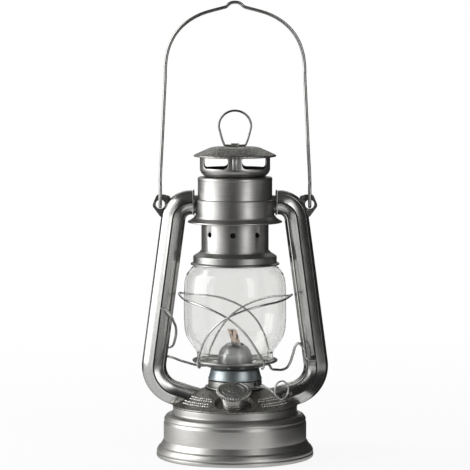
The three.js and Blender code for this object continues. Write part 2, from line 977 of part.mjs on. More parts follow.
// One loop of the guard, from its front foot over the tip to its back foot.
function guardWire(centreAngle, outside) {
  const overGlass = globe.radius + guard.globeGap + guard.wireRadius
    + outside * (guard.wireRadius * 2 + guard.crossingGap);
  const tip = guard.tipRadius + outside * guard.wireRadius;
  const place = (side, i) => {
    const angle = radians(centreAngle + side * guard.footAngle * guard.angleShares[i]);
    const swell = overGlass + (tip - overGlass) * guard.radialShares[i];
    const radius = swell + (guard.footRadius - swell) * guard.neckShares[i];
    const height = guard.footHeight + (guard.tipHeight - guard.footHeight) * guard.heightShares[i];
    return new THREE.Vector3(radius * Math.cos(angle), radius * Math.sin(angle), height);
  };
  const foot = (side) => {
    const angle = radians(centreAngle + side * guard.footAngle);
    return [
      [guard.hookRadius, guard.footHeight - guard.hookDrop],
      [guard.footRadius, guard.footHeight - guard.hookDrop + guard.wireRadius],
      [guard.footRadius, guard.footHeight],
    ].map(([radius, height]) =>
      new THREE.Vector3(radius * Math.cos(angle), radius * Math.sin(angle), height));
  };
  const last = guard.angleShares.length - 1;
  const count = guard.angleShares.length;
  const front = Array.from({ length: count }, (_, i) => place(1, last - i));
  const back = Array.from({ length: last }, (_, i) => place(-1, i + 1));
  const loop = smoothRoute([foot(1)[2], ...front, ...back, foot(-1)[2]], 30);
  const route = [...foot(1).slice(0, 2), ...loop, ...foot(-1).slice(0, 2).reverse()];
  return wire(route, guard.wireRadius);
}

// Lift lever

// A point given along the lever's axis, across it to the back, and up from it.
function leverPlace([along, across, up]) {
  return new THREE.Vector3(along, across, lever.axisHeight + up)
    .applyAxisAngle(new THREE.Vector3(0, 0, 1), -radians(lever.yaw));
}

// The lever runs from its thumb hook through the left eye, under the plate and over a hump.
function leverRoute() {
  const dip = lever.crankHeight - lever.axisHeight;
  const lanternPlace = ([x, y, up]) => new THREE.Vector3(x, y, lever.axisHeight + up);
  const run = lever.eyeLength / 2 + lever.eyeClearance + lever.bend;
  const rises = [lever.crankRise, -lever.crankRise, 0, 0, -lever.crankRise / 2];
  const crank = lever.crankShares.map(([along, across], i) => [
    lever.crankHalf * along,
    lever.crankReach * across,
    dip + rises[i],
  ]);
  return [
    ...lever.thumbPlaces.map(lanternPlace),
    leverPlace([-lever.leftEye - run, lever.turnOffset, lever.turnRise]),
    leverPlace([-lever.leftEye - run, 0, 0]),
    leverPlace([-lever.leftEye + run, 0, 0]),
    ...crank.map(leverPlace),
    ...lever.humpPlaces.map(lanternPlace),
    leverPlace([lever.rightEye - run, -lever.turnOffset, lever.endRise]),
    leverPlace([lever.rightEye - run + lever.bend, 0, 0]),
    leverPlace([lever.rightEye + run - lever.bend, 0, 0]),
  ];
}

function liftLever() {
  return wire(roundedRoute(leverRoute(), lever.bend, 1), lever.wireRadius);
}

// An eye of bent strip that holds the lever against a tube; side -1 is behind the left one.
function leverEye(side) {
  const bore = lever.wireRadius + lever.eyeGap;
  const ring = bore + lever.eyeWall;
  let body = solid(extrude(circle(ring), lever.eyeLength, smallSteps));
  const tab = extrude(rectangle(lever.tabHeight, lever.tabThickness), lever.eyeLength)
    .translate(0, side * (ring - lever.tabThickness / 2), 0);
  body = body.add(solid(tab));
  body = body.subtract(
    solid(extrude(circle(bore), lever.eyeLength + overrun * 2, smallSteps).translate(0, 0, -overrun)));
  const along = side < 0 ? -lever.leftEye : lever.rightEye;
  return surface(body)
    .translate(0, 0, -lever.eyeLength / 2)
    .rotateY(Math.PI / 2)
    .translate(along, 0, lever.axisHeight)
    .rotateZ(-radians(lever.yaw));
}

// Side tubes

// The section, with x across the lantern's depth and y towards its middle.
function tubeSection(margin) {
  const outer = Array.from({ length: sideTube.lobeSteps + 1 }, (_, i) => {
    const angle = Math.PI * (1 + i / sideTube.lobeSteps);
    return [
      (sideTube.outerHalfDepth + margin) * Math.cos(angle),
      sideTube.creaseShift + (sideTube.outerReach + margin) * Math.sin(angle),
    ];
  });
  const inner = Array.from({ length: sideTube.lobeSteps + 1 }, (_, i) => {
    const share = sideTube.creaseStartShare;
    const angle = Math.PI * (share + ((1 - share * 2) * i) / sideTube.lobeSteps);
    return [
      (sideTube.innerHalfDepth + margin) * Math.cos(angle),
      sideTube.creaseShift + (sideTube.innerReach + margin) * Math.sin(angle),
    ];
  });
  return polygon([...outer, ...inner]);
}

// The route of the right tube's middle line, from the hood down to the dome.
function tubeRoute(startRun = 0, endRun = 0) {
  const lean = radians(sideTube.lean);
  const elbow = [sideTube.elbowX, sideTube.topHeight - sideTube.elbowRadius];
  const places = [
    [sideTube.startX - startRun, sideTube.topHeight + sweepTilt],
    [sideTube.elbowX, sideTube.topHeight],
  ];
  const elbowTurn = Math.PI / 2 - lean;
  for (let i = 1; i <= sideTube.bendSteps; i += 1) {
    const angle = Math.PI / 2 - (elbowTurn * i) / sideTube.bendSteps;
    places.push([
      elbow[0] + sideTube.elbowRadius * Math.cos(angle),
      elbow[1] + sideTube.elbowRadius * Math.sin(angle),
    ]);
  }
  const [elbowEndX, elbowEndHeight] = places[places.length - 1];
  const legBottomX = elbowEndX + (elbowEndHeight - sideTube.legBottomHeight) * Math.tan(lean);
  const centre = [
    legBottomX - sideTube.bendRadius * Math.cos(lean),
    sideTube.legBottomHeight - sideTube.bendRadius * Math.sin(lean),
  ];
  const bendTurn = Math.PI / 2 + lean - radians(sideTube.entryDrop);
  for (let i = 0; i <= sideTube.bendSteps; i += 1) {
    const angle = lean - (bendTurn * i) / sideTube.bendSteps;
    places.push([
      centre[0] + sideTube.bendRadius * Math.cos(angle),
      centre[1] + sideTube.bendRadius * Math.sin(angle),
    ]);
  }
  const [bendEndX, bendEndHeight] = places[places.length - 1];
  const drop = radians(sideTube.entryDrop);
  const run = sideTube.entryRun + endRun;
  places.push([bendEndX - run * Math.cos(drop), bendEndHeight - run * Math.sin(drop)]);
  return vectors(places.map(([x, z]) => [x, 0, z]));
}

function tubeBody(margin, startRun = 0, endRun = 0) {
  return solid(sweep(tubeSection(margin), tubeRoute(startRun, endRun)));
}

// Everything under the outside of the dome, with the seat gap, which ends the tubes.
function domeSpace(gap) {
  const outline = offsetOutline(domeOutline(), -gap);
  return revolvedSolid([
    [0, 0],
    [tank.footRadius + overrun, 0],
    [tank.footRadius + overrun, tank.rimHeight],
    ...outline,
    [0, outline[outline.length - 1][1]],
  ], wideSteps);
}

function sideTubeShell() {
  const hollow = tubeBody(0).subtract(tubeBody(-sideTube.wall, overrun, overrun));
  const above = hollow.subtract(domeSpace(seatGap));
  return surface(above);
}

function collarSection(share, margin) {
  const halfDepth = sideTube.outerHalfDepth * tubeCollar.neckDepthShare * share + margin;
  const halfHeight = sideTube.innerReach * tubeCollar.neckHeightShare * share + margin;
  return new THREE.Shape().absellipse(0, 0, halfHeight, halfDepth, 0, Math.PI * 2);
}

function alongHoodX(geometry, fromX) {
  return geometry.rotateY(Math.PI / 2)
    .translate(fromX, 0, sideTube.topHeight - tubeCollar.neckDrop);
}

function hoodNeck(share, margin, fromX, toX) {
  return solid(alongHoodX(extrude(collarSection(share, margin), toX - fromX, smallSteps + 2), fromX));
}

function tubeCollarBody() {
  const flangeEnd = tubeCollar.flangeX + tubeCollar.flangeThickness;
  const route = vectors([
    [tubeCollar.flangeX, 0, sideTube.topHeight + sweepTilt],
    [flangeEnd, 0, sideTube.topHeight],
  ]);
  const flange = solid(sweep(tubeSection(tubeCollar.flangeMargin), route));
  const neck = hoodNeck(1, 0, tubeCollar.neckInnerX, flangeEnd);
  const bore = hoodNeck(tubeCollar.boreShare, 0, tubeCollar.neckInnerX - overrun, flangeEnd + overrun);
  return surface(flange.add(neck).subtract(bore));
}

// Hood and skirt

function hoodShell() {
  const corner = hood.cornerRadius;
  const outline = [
    [hood.lowerRadius, hood.bottomHeight],
    [hood.lowerRadius, hood.stepHeight],
    [hood.upperRadius, hood.stepHeight + hood.stepRise],
    [hood.upperRadius, hood.bandHeight - hood.bandDepth],
    [hood.upperRadius + hood.bandDepth, hood.bandHeight],
    ...arc(hood.upperRadius + hood.bandDepth - corner, hood.topHeight - corner, corner, 0, 90, 2),
    [hood.mouthRadius, hood.topHeight],
  ];
  let body = revolvedSolid(shell(outline, sheet, [0, 1, 2, 5, 6, 7, 8]), wideSteps);
  for (const turn of [0, Math.PI]) {
    const hole = surface(hoodNeck(1, seatGap, 0, tubeCollar.flangeX + overrun));
    body = body.subtract(solid(hole.rotateZ(turn)));
  }
  return surface(body);
}

function hoodSkirt() {
  const topRadius = hood.lowerRadius + seatGap + sheet;
  const bottomHeight = hood.bottomHeight - skirt.drop;
  const outline = [
    [skirt.radius - skirt.edgeBead, bottomHeight],
    [skirt.radius, bottomHeight + skirt.edgeBead],
    [topRadius + skirt.edgeBead, bottomHeight + skirt.flareHeight],
    [topRadius, bottomHeight + skirt.flareHeight + skirt.edgeBead],
    [topRadius, bottomHeight + skirt.height],
  ];
  return revolve(shell(outline, sheet), wideSteps);
}

// Sliding chimney

function chimneyTube() {
  const corner = chimney.cornerRadius;
  const outline = [
    [chimney.radius, chimney.bottomHeight],
    ...arc(chimney.radius - corner, chimney.shoulderHeight - corner, corner, 0, 90, 2),
    [draftTube.radius + seatGap, chimney.shoulderHeight],
  ];
  const halfFacet = 180 / wideSteps;
  const tube = revolve(shell(outline, sheet), wideSteps);
  let body = solid(tube.rotateZ(radians(chimney.holeYaw + halfFacet)));
  for (let i = 0; i < chimney.holeCount; i += 1) {
    const hole = crossBar(chimney.holeRadius, chimney.radius + overrun)
      .translate(0, 0, chimney.holeHeight)
      .rotateZ(radians(chimney.holeYaw - 90 + (360 * i) / chimney.holeCount));
    body = body.subtract(solid(hole));
  }
  return surface(body);
}

function draftTubeBody() {
  const outline = [
    [draftTube.radius, draftTube.bottomHeight],
    [draftTube.radius, draftTube.topHeight],
  ];
  return revolve(shell(outline, sheet), midSteps);
}

function globeCollarRing() {
  const outline = [
    [globeCollar.lipRadius - globeCollar.lipEdge, globeCollar.lipHeight - globeCollar.lipEdge],
    [globeCollar.lipRadius, globeCollar.lipHeight],
    [globeCollar.wallRadius, globeCollar.wallBottomHeight],
    [globeCollar.wallRadius, globeCollar.wallTopHeight],
    [globeCollar.topRadius, globeCollar.coneTopHeight],
    [globeCollar.topRadius, globeCollar.topHeight],
  ];
  return revolve(shell(outline, sheet, [0, 2, 3, 4, 5]), wideSteps);
}

// The least gap between the wire's runs, measured between points on its middle line. Points less
// than the given steps apart along the wire are neighbours, and aren't compared.
function leastGap(middles, wireRadius, apart) {
  const finer = new PointPath(middles).getPoints((middles.length - 1) * 4);
  let least = Infinity;
  for (let i = 0; i < finer.length; i += 1) {
    for (let k = i + apart * 4; k < finer.length; k += 1) {
      least = Math.min(least, finer[i].distanceTo(finer[k]) - wireRadius * 2);
    }
  }
  return least;
}

// The spring sits between the chimney's shoulder and the underside of the hood's top.
function chimneySpring() {
  const radius = draftTube.radius + spring.radialGap + spring.wireRadius;
  const bottom = chimney.shoulderHeight + seatGap + spring.wireRadius;
  const top = hood.topHeight - sheet - seatGap - spring.wireRadius;
  const steps = spring.turns * spring.stepsPerTurn;
  const places = Array.from({ length: steps + 1 }, (_, i) => {
    const angle = (Math.PI * 2 * i) / spring.stepsPerTurn;
    const height = bottom + ((top - bottom) * i) / steps;
    return [radius * Math.cos(angle), radius * Math.sin(angle), height];
  });
  const middles = vectors(places);
  const gap = leastGap(middles, spring.wireRadius, spring.stepsPerTurn / 2);
  console.log(`chimney spring: least gap to itself ${gap.toFixed(2)} mm`);
  return wire(middles, spring.wireRadius, spring.sides);
}

// One window of the crown: a sector between two angles, with rounded lower corners.
function crownWindow(middleAngle) {
  const halfArc = radians(crown.windowAngle / 2) * crown.radius;
  const height = crown.windowTopHeight - crown.windowBottomHeight;
  const corner = crown.windowCorner;
  const shape = new THREE.Shape();
  shape.moveTo(0, -halfArc);
  shape.lineTo(height - corner, -halfArc);
  shape.quadraticCurveTo(height, -halfArc, height, corner - halfArc);
  shape.lineTo(height, halfArc - corner);
  shape.quadraticCurveTo(height, halfArc, height - corner, halfArc);
  shape.lineTo(0, halfArc);
  shape.closePath();
  const depth = crown.radius * crown.cutDepthShare;
  const block = extrude(shape, depth, 2).rotateY(Math.PI / 2)
    .translate(crown.radius * crown.cutStartShare, 0, crown.windowTopHeight);
  return solid(block.rotateZ(radians(middleAngle)));
}

function crownShell() {
  const outline = [
    [crown.footRadius, crown.bottomHeight],
    [crown.footRadius + crown.ribWidth, crown.bottomHeight + crown.ribDepth],
    [crown.radius - crown.ribDepth, crown.wallBottomHeight - crown.ribDepth * 2],
    [crown.radius, crown.wallBottomHeight],
    [crown.radius, crown.topHeight],
  ];
  let body = revolvedSolid(shell(outline, sheet), wideSteps);
  const middle = (crown.postAngle + crown.windowAngle) / 2;
  for (const angle of [-90 - middle, -90 + middle, 90 - middle, 90 + middle]) {
    body = body.subtract(crownWindow(angle));
  }
  return surface(body);
}

function capShell() {
  const slope = Math.atan2(cap.topHeight - cap.rimHeight, cap.rimRadius - cap.flatRadius);
  const outline = [
    [cap.rimRadius - cap.rimBead, cap.rimHeight - cap.rimBead],
    [cap.rimRadius, cap.rimHeight],
    [cap.rimRadius - cap.rimBead, cap.rimHeight + cap.rimBead],
    [cap.flatRadius + cap.edgeRound, cap.topHeight - cap.edgeRound * Math.tan(slope)],
    [cap.flatRadius - cap.edgeRound, cap.topHeight],
    [0, cap.topHeight],
  ];
  return revolve(shell(outline, cap.wall, [0, 2, 3, 4, 5]), wideSteps);
}

function ringAxisHeight() {
  return cap.topHeight + seatGap + lidRing.wireRadius;
}

function lidRingWire() {
  const axis = ringAxisHeight();
  const { archHeight, archRadius, archEndAngle, archSteps } = lidRing;
  const arch = arc(0, archHeight, archRadius, 180 - archEndAngle, archEndAngle, archSteps)
    .map(([x, z]) => [x, 0, z]);
  const foot = (side) => [side * lidRing.footHalfWidth, 0, axis];
  const corners = vectors([
    [-lidRing.joinGap / 2, 0, axis],
    foot(-1),
    ...arch,
    foot(1),
    [lidRing.joinGap / 2, 0, axis],
  ]);
  return wire(corners, lidRing.wireRadius);
}

// A saddle strap that holds the ring's foot on the cap.
function ringStrap() {
  const inner = lidRing.wireRadius + seatGap;
  const outer = inner + strap.thickness;
  const base = cap.topHeight + seatGap - ringAxisHeight();
  const reach = outer + strap.footLength;
  const shape = new THREE.Shape();
  shape.moveTo(-reach, base);
  shape.lineTo(-inner, base);
  shape.lineTo(-inner, 0);
  shape.absarc(0, 0, inner, Math.PI, 0, true);
  shape.lineTo(inner, base);
  shape.lineTo(reach, base);
  shape.lineTo(reach, base + strap.thickness);
  shape.lineTo(outer, base + strap.thickness);
  shape.lineTo(outer, 0);
  shape.absarc(0, 0, outer, 0, Math.PI, false);
  shape.lineTo(-outer, base + strap.thickness);
  shape.lineTo(-reach, base + strap.thickness);
  shape.closePath();
  return extrude(shape, strap.width, 4)
    .translate(0, 0, -strap.width / 2)
    .rotateX(Math.PI / 2)
    .rotateZ(Math.PI / 2)
    .translate(0, 0, ringAxisHeight());
}

// Bail and ears

function bailEar() {
  const plateShape = polygon([
    [ear.topInnerX, ear.topHeight - ear.thickness],
    [ear.topInnerX, ear.footHeight],
    [ear.footX, ear.footHeight],
    [ear.tipX, ear.tipHeight],
    [ear.topOuterX, ear.topHeight],
    [ear.topOuterX - ear.topFlatWidth, ear.topHeight],
  ]);
  const standing = (shape, depth, y, steps = smallSteps) => extrude(shape, depth, steps)
    .rotateX(Math.PI / 2).translate(0, y, 0);
  let body = solid(standing(plateShape, ear.thickness, ear.thickness / 2));
  const hole = standing(circle(ear.holeRadius), overrun * 2, overrun, smallSteps * 2)
    .translate(ear.holeX, 0, ear.holeHeight);
  body = body.subtract(solid(hole)).subtract(tubeBody(seatGap));
  return surface(body);
}

// Half the bail, from the loop's free end round the ear's upper rim to the top of the arch.
function bailHalf() {
  const loopHeight = bail.loopBottomHeight + bail.loopHalfGap;
  const loop = arc(0, loopHeight, bail.loopHalfGap, 0, -180, bail.loopSteps)
    .map(([y, z]) => [ear.holeX, y, z]);
  const legX = (height) => {
    const share = (height - bail.loopTopHeight) / (bail.legTopHeight - bail.loopTopHeight);
    return ear.holeX + (bail.legTopX - ear.holeX) * share;
  };
  const arch = [];
  const rise = bail.archTopHeight - bail.legTopHeight;
  for (let i = 1; i <= bail.archSteps; i += 1) {
    const angle = (Math.PI / 2) * (i / (bail.archSteps + 1));
    arch.push([
      bail.legTopX * Math.cos(angle) ** bail.archFullness,
      0,
      bail.legTopHeight + rise * Math.sin(angle) ** bail.archFullness,
    ]);
  }
  const hump = bail.humpWidthShares.map((share, i) => [
    bail.humpHalfWidth * share,
    0,
    bail.archTopHeight + (bail.humpTopHeight - bail.archTopHeight) * bail.humpHeightShares[i],
  ]);
  return vectors([
    [ear.holeX, bail.loopHalfGap * bail.loopEndShare, bail.loopEndHeight],
    [ear.holeX, bail.loopHalfGap, bail.loopEndHeight - bail.endRun],
    ...loop,
    [ear.holeX, -bail.loopHalfGap, bail.loopTopHeight - bail.kinkRun],
    [legX(bail.loopTopHeight), 0, bail.loopTopHeight],
    [bail.legTopX, 0, bail.legTopHeight],
    ...arch.filter(([x]) => x > bail.humpHalfWidth + bail.wireRadius),
    ...hump,
  ]);
}

function bailWire() {
  const half = bailHalf();
  const other = half.map(({ x, y, z }) => new THREE.Vector3(-x, y, z)).reverse();
  const top = new THREE.Vector3(0, 0, bail.humpTopHeight);
  return wire([...half, top, ...other], bail.wireRadius);
}

// Assembly

const rightBore = tubeBody(-sideTube.wall * 2, overrun, 0);
const leftBore = solid(mirrored(surface(rightBore)));

addPart('tank_wall', tankWall(), zinc);
addPart('tank_bottom', tankBottomPlate(), zinc);
addPart('tank_lid', tankLidPlate(), zinc);
addPart('air_dome', airDome([rightBore, leftBore]), zinc);
addPart('filler_neck', fillerNeck(), zinc);
addPart('filler_gasket', fillerGasketRing(), rubber);
addPart('filler_cap', fillerCapDisc(), zinc);
addPart('burner_collar', burnerCollar(), brass);
addPart('burner_seat', burnerSeat(), zinc);
addPart('burner_base', burnerBase(), blueZinc);
addPart('burner_gallery', burnerGallery(), blueZinc);
addPart('wick_tube', wickTube(), brass);
addPart('wick', wick(), cotton);
addPart('wick_shaft', wickShaft(), paleWire);
addPart('wick_wheel_left', wickWheel(-1), brass);
addPart('wick_wheel_right', wickWheel(1), brass);
addPart('globe_plate', globePlate(), zinc);
addPart('burner_dome', burnerDome(), zinc);
addPart('globe', globeGlass(), glass);
addPart('guard_wire_left', guardWire(180 + guard.yaw, 0), paleWire);
addPart('guard_wire_right', guardWire(guard.yaw, 1), paleWire);
addPart('lift_lever', liftLever(), paleWire);
addPart('lever_eye_left', leverEye(-1), darkSteel);
addPart('lever_eye_right', leverEye(1), darkSteel);
addPart('side_tube_right', sideTubeShell(), darkSteel);
addPart('side_tube_left', mirrored(sideTubeShell()), darkSteel);
addPart('tube_collar_right', tubeCollarBody(), darkSteel);
addPart('tube_collar_left', mirrored(tubeCollarBody()), darkSteel);
addPart('bail_ear_right', bailEar(), darkSteel);
addPart('bail_ear_left', mirrored(bailEar()), darkSteel);
addPart('bail', bailWire(), paleWire);
addPart('hood', hoodShell(), zinc);
addPart('hood_skirt', hoodSkirt(), zinc);
addPart('chimney', chimneyTube(), zinc);
addPart('draft_tube', draftTubeBody(), zinc);
addPart('globe_collar', globeCollarRing(), zinc);
addPart('chimney_spring', chimneySpring(), paleWire);
addPart('crown', crownShell(), zinc);
addPart('cap', capShell(), zinc);
addPart('ring_strap', ringStrap(), zinc);
addPart('lid_ring', lidRingWire(), paleWire);

export default lantern;
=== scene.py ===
"""Looks of a small tubular hurricane lantern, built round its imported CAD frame.

The piece classes hold millimetres, as the part's source does, and meshes are made in metres.
"""

import logging
import math
from dataclasses import dataclass
from enum import Enum
from typing import Iterable, Sequence

import bmesh
import bpy
import numpy as np
from mathutils import Matrix, Vector


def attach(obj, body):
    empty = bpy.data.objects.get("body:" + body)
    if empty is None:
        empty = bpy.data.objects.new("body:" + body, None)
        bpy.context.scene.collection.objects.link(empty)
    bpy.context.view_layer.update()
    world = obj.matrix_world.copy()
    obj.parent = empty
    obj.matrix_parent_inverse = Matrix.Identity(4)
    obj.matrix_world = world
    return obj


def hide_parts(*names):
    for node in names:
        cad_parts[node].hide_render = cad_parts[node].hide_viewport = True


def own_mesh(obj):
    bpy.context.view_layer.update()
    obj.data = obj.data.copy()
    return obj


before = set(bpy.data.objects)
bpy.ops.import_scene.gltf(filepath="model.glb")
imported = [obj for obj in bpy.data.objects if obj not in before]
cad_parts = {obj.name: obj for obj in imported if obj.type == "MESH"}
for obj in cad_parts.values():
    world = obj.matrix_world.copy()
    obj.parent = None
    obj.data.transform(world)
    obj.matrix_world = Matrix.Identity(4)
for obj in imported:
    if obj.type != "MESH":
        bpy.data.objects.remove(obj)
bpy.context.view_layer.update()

logging.basicConfig(level=logging.INFO, format="%(message)s")
log = logging.getLogger("lantern")

MM = 0.001
FULL_TURN = math.tau
WELD = 2e-6
FILLET_ROOM = 0.49
SMOOTH_ANGLE = 38.0
ROUND_SMOOTH_ANGLE = 60.0
CUT_SMOOTH_ANGLE = 40.0
SEATED_SMOOTH_ANGLE = 45.0
HOLLOW_GAIN = 1.6
HOLLOW_LIMIT = 0.5

# Measures that more than one group uses, in millimetres and degrees
SHEET = 0.7
FILLER_PLACE = (-1.2, -37.5, 46.9)
FILLER_LEAN = 23.0
BURNER_YAW = -27.0
SHAFT_OFFSET = 5.8
SHAFT_HEIGHT = 58.6
LEVER_YAW = 10.5
LEVER_HEIGHT = 80.5

Corner = tuple[float, ...]
Outline = tuple[Corner, ...]
Place = tuple[float, float, float]
Colour = tuple[float, float, float]
Range = tuple[float, float]
Obj = bpy.types.Object
Tree = bpy.types.NodeTree
Node = bpy.types.Node
Socket = bpy.types.NodeSocket


class Grain(Enum):
    """Which way the fine lines of a metal finish run."""

    ROUND = (60.0, 60.0, 2600.0)
    LENGTHWISE = (1400.0, 1400.0, 50.0)
    EVEN = (900.0, 900.0, 900.0)


# Modelling helpers


def set_mode(mode: str) -> None:
    """Switches between object and edit mode."""
    if bpy.context.object is not None and bpy.context.object.mode != mode:
        bpy.ops.object.mode_set(mode=mode)


def start_clear() -> None:
    """Leaves edit mode with nothing selected."""
    set_mode("OBJECT")
    bpy.ops.object.select_all(action="DESELECT")


def pick_only(obj: Obj) -> None:
    """Selects one object and makes it the active one.

    Args:
        obj: the object.
    """
    start_clear()
    obj.select_set(True)
    bpy.context.view_layer.objects.active = obj


def edit_all() -> None:
    """Enters edit mode with everything selected."""
    set_mode("EDIT")
    bpy.ops.mesh.select_all(action="SELECT")


def named(name: str) -> Obj:
    """Names the active object and its mesh.

    Args:
        name: the piece's name.

    Returns:
        The object.
    """
    obj = bpy.context.object
    obj.name = obj.data.name = name
    return obj


def rounded(corners: Sequence[Corner], steps: int = 4) -> list[tuple[float, float]]:
    """Rounds the corners of an outline.

    Args:
        corners: (across, up) or (across, up, fillet) in millimetres.
        steps: points on each fillet, less one.

    Returns:
        The outline's points in millimetres.
    """
    out: list[tuple[float, float]] = []
    last = len(corners) - 1
    for i, corner in enumerate(corners):
        here = Vector(corner[:2])
        fillet = corner[2] if len(corner) > 2 else 0.0
        if fillet <= 0 or i in (0, last):
            out.append((here.x, here.y))
            continue
        back = Vector(corners[i - 1][:2]) - here
        ahead = Vector(corners[i + 1][:2]) - here
        bend = math.pi - back.angle(ahead)
        reach = min(fillet * math.tan(bend / 2), FILLET_ROOM * min(back.length, ahead.length))
        start, end = here + back.normalized() * reach, here + ahead.normalized() * reach
        for k in range(steps + 1):
            t = k / steps
            point = start * (1 - t) ** 2 + here * 2 * t * (1 - t) + end * t * t
            out.append((point.x, point.y))
    return out


def smooth_shaded(obj: Obj, degrees: float = SMOOTH_ANGLE) -> Obj:
    """Shades a piece smooth up to an angle.

    Args:
        obj: the piece.
        degrees: the angle.

    Returns:
        The piece.
    """
    pick_only(obj)
    bpy.ops.object.shade_smooth_by_angle(angle=math.radians(degrees))
    return obj


def tidy_shell(obj: Obj) -> None:
    """Merges doubles and turns every face of a closed piece outwards.

    Args:
        obj: the piece.
    """
    pick_only(obj)
    edit_all()
    bpy.ops.mesh.remove_doubles(threshold=WELD)
    bpy.ops.mesh.normals_make_consistent(inside=False)
    set_mode("OBJECT")


def turned(name: str, corners: Sequence[Corner], steps: int = 128,
           shade: float = SMOOTH_ANGLE) -> Obj:
    """Draws a closed outline vertex by vertex and spins it round the Z axis.

    Args:
        name: the piece's name.
        corners: (radius, height[, fillet]) in millimetres.
        steps: facets round the axis.
        shade: angle up to which edges are smooth, in degrees.

    Returns:
        The new piece.
    """
    outline = [Vector((r, 0.0, z)) * MM for r, z in rounded(corners)]
    outline.append(outline[0].copy())
    start_clear()
    bpy.ops.mesh.primitive_plane_add(size=MM, location=(0, 0, 0))
    obj = named(name)
    set_mode("EDIT")
    bpy.ops.mesh.merge(type="CENTER")
    bpy.ops.transform.translate(value=outline[0])
    for here, there in zip(outline, outline[1:]):
        bpy.ops.mesh.extrude_region_move(TRANSFORM_OT_translate={"value": there - here})
    bpy.ops.mesh.select_all(action="SELECT")
    bpy.ops.mesh.spin(steps=steps, angle=FULL_TURN, center=(0, 0, 0), axis=(0, 0, 1))
    tidy_shell(obj)
    return smooth_shaded(obj, shade)


def bent_wire(name: str, places: Sequence[Place], radius: float, sides: int = 4,
              steps: int = 6) -> Obj:
    """Bends a round wire with closed ends through places.

    Args:
        name: the piece's name.
        places: points on the wire's middle line, in millimetres.
        radius: the wire's radius in millimetres.
        sides: bevel resolution of the wire's section.
        steps: steps between two places.

    Returns:
        The new piece.
    """
    start_clear()
    bpy.ops.curve.primitive_bezier_curve_add(location=(0, 0, 0))
    obj = named(name)
    curve = obj.data
    spline = curve.splines[0]
    spline.bezier_points.add(len(places) - len(spline.bezier_points))
    for point, place in zip(spline.bezier_points, places):
        point.co = Vector(place) * MM
        point.handle_left_type = point.handle_right_type = "AUTO"
    curve.resolution_u = steps
    curve.bevel_depth = radius * MM
    curve.bevel_resolution = sides
    curve.use_fill_caps = True
    curve.twist_mode = "MINIMUM"
    bpy.ops.object.convert(target="MESH")
    obj = named(name)
    tidy_shell(obj)
    return smooth_shaded(obj, ROUND_SMOOTH_ANGLE)


def modified(obj: Obj, kind: str, **values: object) -> Obj:
    """Adds one modifier to a piece and applies it.

    Args:
        obj: the piece.
        kind: the modifier's type.
        values: the modifier's own settings.

    Returns:
        The piece.
    """
    pick_only(obj)
    modifier = obj.modifiers.new(kind.title(), kind)
    for key, value in values.items():
        setattr(modifier, key, value)
    bpy.ops.object.modifier_apply(modifier=modifier.name)
    return obj


def softened(obj: Obj, width: float, degrees: float = 50.0, segments: int = 2) -> Obj:
    """Bevels the edges of a piece that bend by more than an angle.

    Args:
        obj: the piece.
        width: the bevel's width in millimetres.
        degrees: the angle.
        segments: facets across the bevel.

    Returns:
        The piece.
    """
    return modified(obj, "BEVEL", width=width * MM, segments=segments, limit_method="ANGLE",
                    angle_limit=math.radians(degrees))


def cut(obj: Obj, cutter: Obj) -> Obj:
    """Cuts a piece with another, which is used up.

    Args:
        obj: the piece.
        cutter: the other one.

    Returns:
        The piece.
    """
    modified(obj, "BOOLEAN", object=cutter, operation="DIFFERENCE", solver="EXACT")
    bpy.data.objects.remove(cutter)
    return obj


def drum(radius: float, depth: float, sides: int = 32) -> Obj:
    """A round piece at the origin, along Z.

    Args:
        radius: in millimetres.
        depth: its length in millimetres.
        sides: facets round it.

    Returns:
        The piece.
    """
    start_clear()
    bpy.ops.mesh.primitive_cylinder_add(vertices=sides, radius=radius * MM, depth=depth * MM)
    return bpy.context.object


def block(size: Place) -> Obj:
    """A box at the origin.

    Args:
        size: along X, Y and Z, in millimetres.

    Returns:
        The box.
    """
    start_clear()
    bpy.ops.mesh.primitive_cube_add(size=1)
    return moved(bpy.context.object, Matrix.Diagonal((*(Vector(size) * MM), 1)))


def moved(obj: Obj, *steps: Matrix) -> Obj:
    """Moves a piece's mesh.

    Args:
        obj: the piece.
        steps: the moves, in order.

    Returns:
        The piece.
    """
    for step in steps:
        obj.data.transform(step)
    obj.data.update()
    return obj


def shift(x: float, y: float, z: float) -> Matrix:
    """A move in millimetres."""
    return Matrix.Translation(Vector((x, y, z)) * MM)


def turn(degrees: float, axis: str) -> Matrix:
    """A turn about one of the axes through the origin."""
    return Matrix.Rotation(math.radians(degrees), 4, axis)


def on_circle(radius: float, degrees: float) -> tuple[float, float]:
    """The point of a circle at an angle."""
    return radius * math.cos(math.radians(degrees)), radius * math.sin(math.radians(degrees))


def joined(name: str, objs: Sequence[Obj]) -> Obj:
    """Joins pieces into one.

    Args:
        name: the joined piece's name.
        objs: the pieces; the first one stays.

    Returns:
        The joined piece.
    """
    start_clear()
    for obj in objs:
        obj.select_set(True)
    bpy.context.view_layer.objects.active = objs[0]
    bpy.ops.object.join()
    return named(name)


def mirrored(obj: Obj, name: str) -> Obj:
    """Copies a piece to its mirror image across the lantern's middle.

    Args:
        obj: the piece.
        name: the copy's name.

    Returns:
        The copy.
    """
    pick_only(obj)
    bpy.ops.object.duplicate(linked=False)
    other = moved(named(name), Matrix.Scale(-1, 4, Vector((1, 0, 0))))
    other.data.flip_normals()
    return other


def flat_face(name: str, places: Sequence[Place]) -> Obj:
    """Draws one flat face.

    Args:
        name: the piece's name.
        places: its corners in millimetres.

    Returns:
        The new piece.
    """
    start_clear()
    bpy.ops.mesh.primitive_circle_add(vertices=len(places), radius=MM, fill_type="NGON")
    obj = named(name)
    for vertex, place in zip(obj.data.vertices, places):
        vertex.co = Vector(place) * MM
    return obj


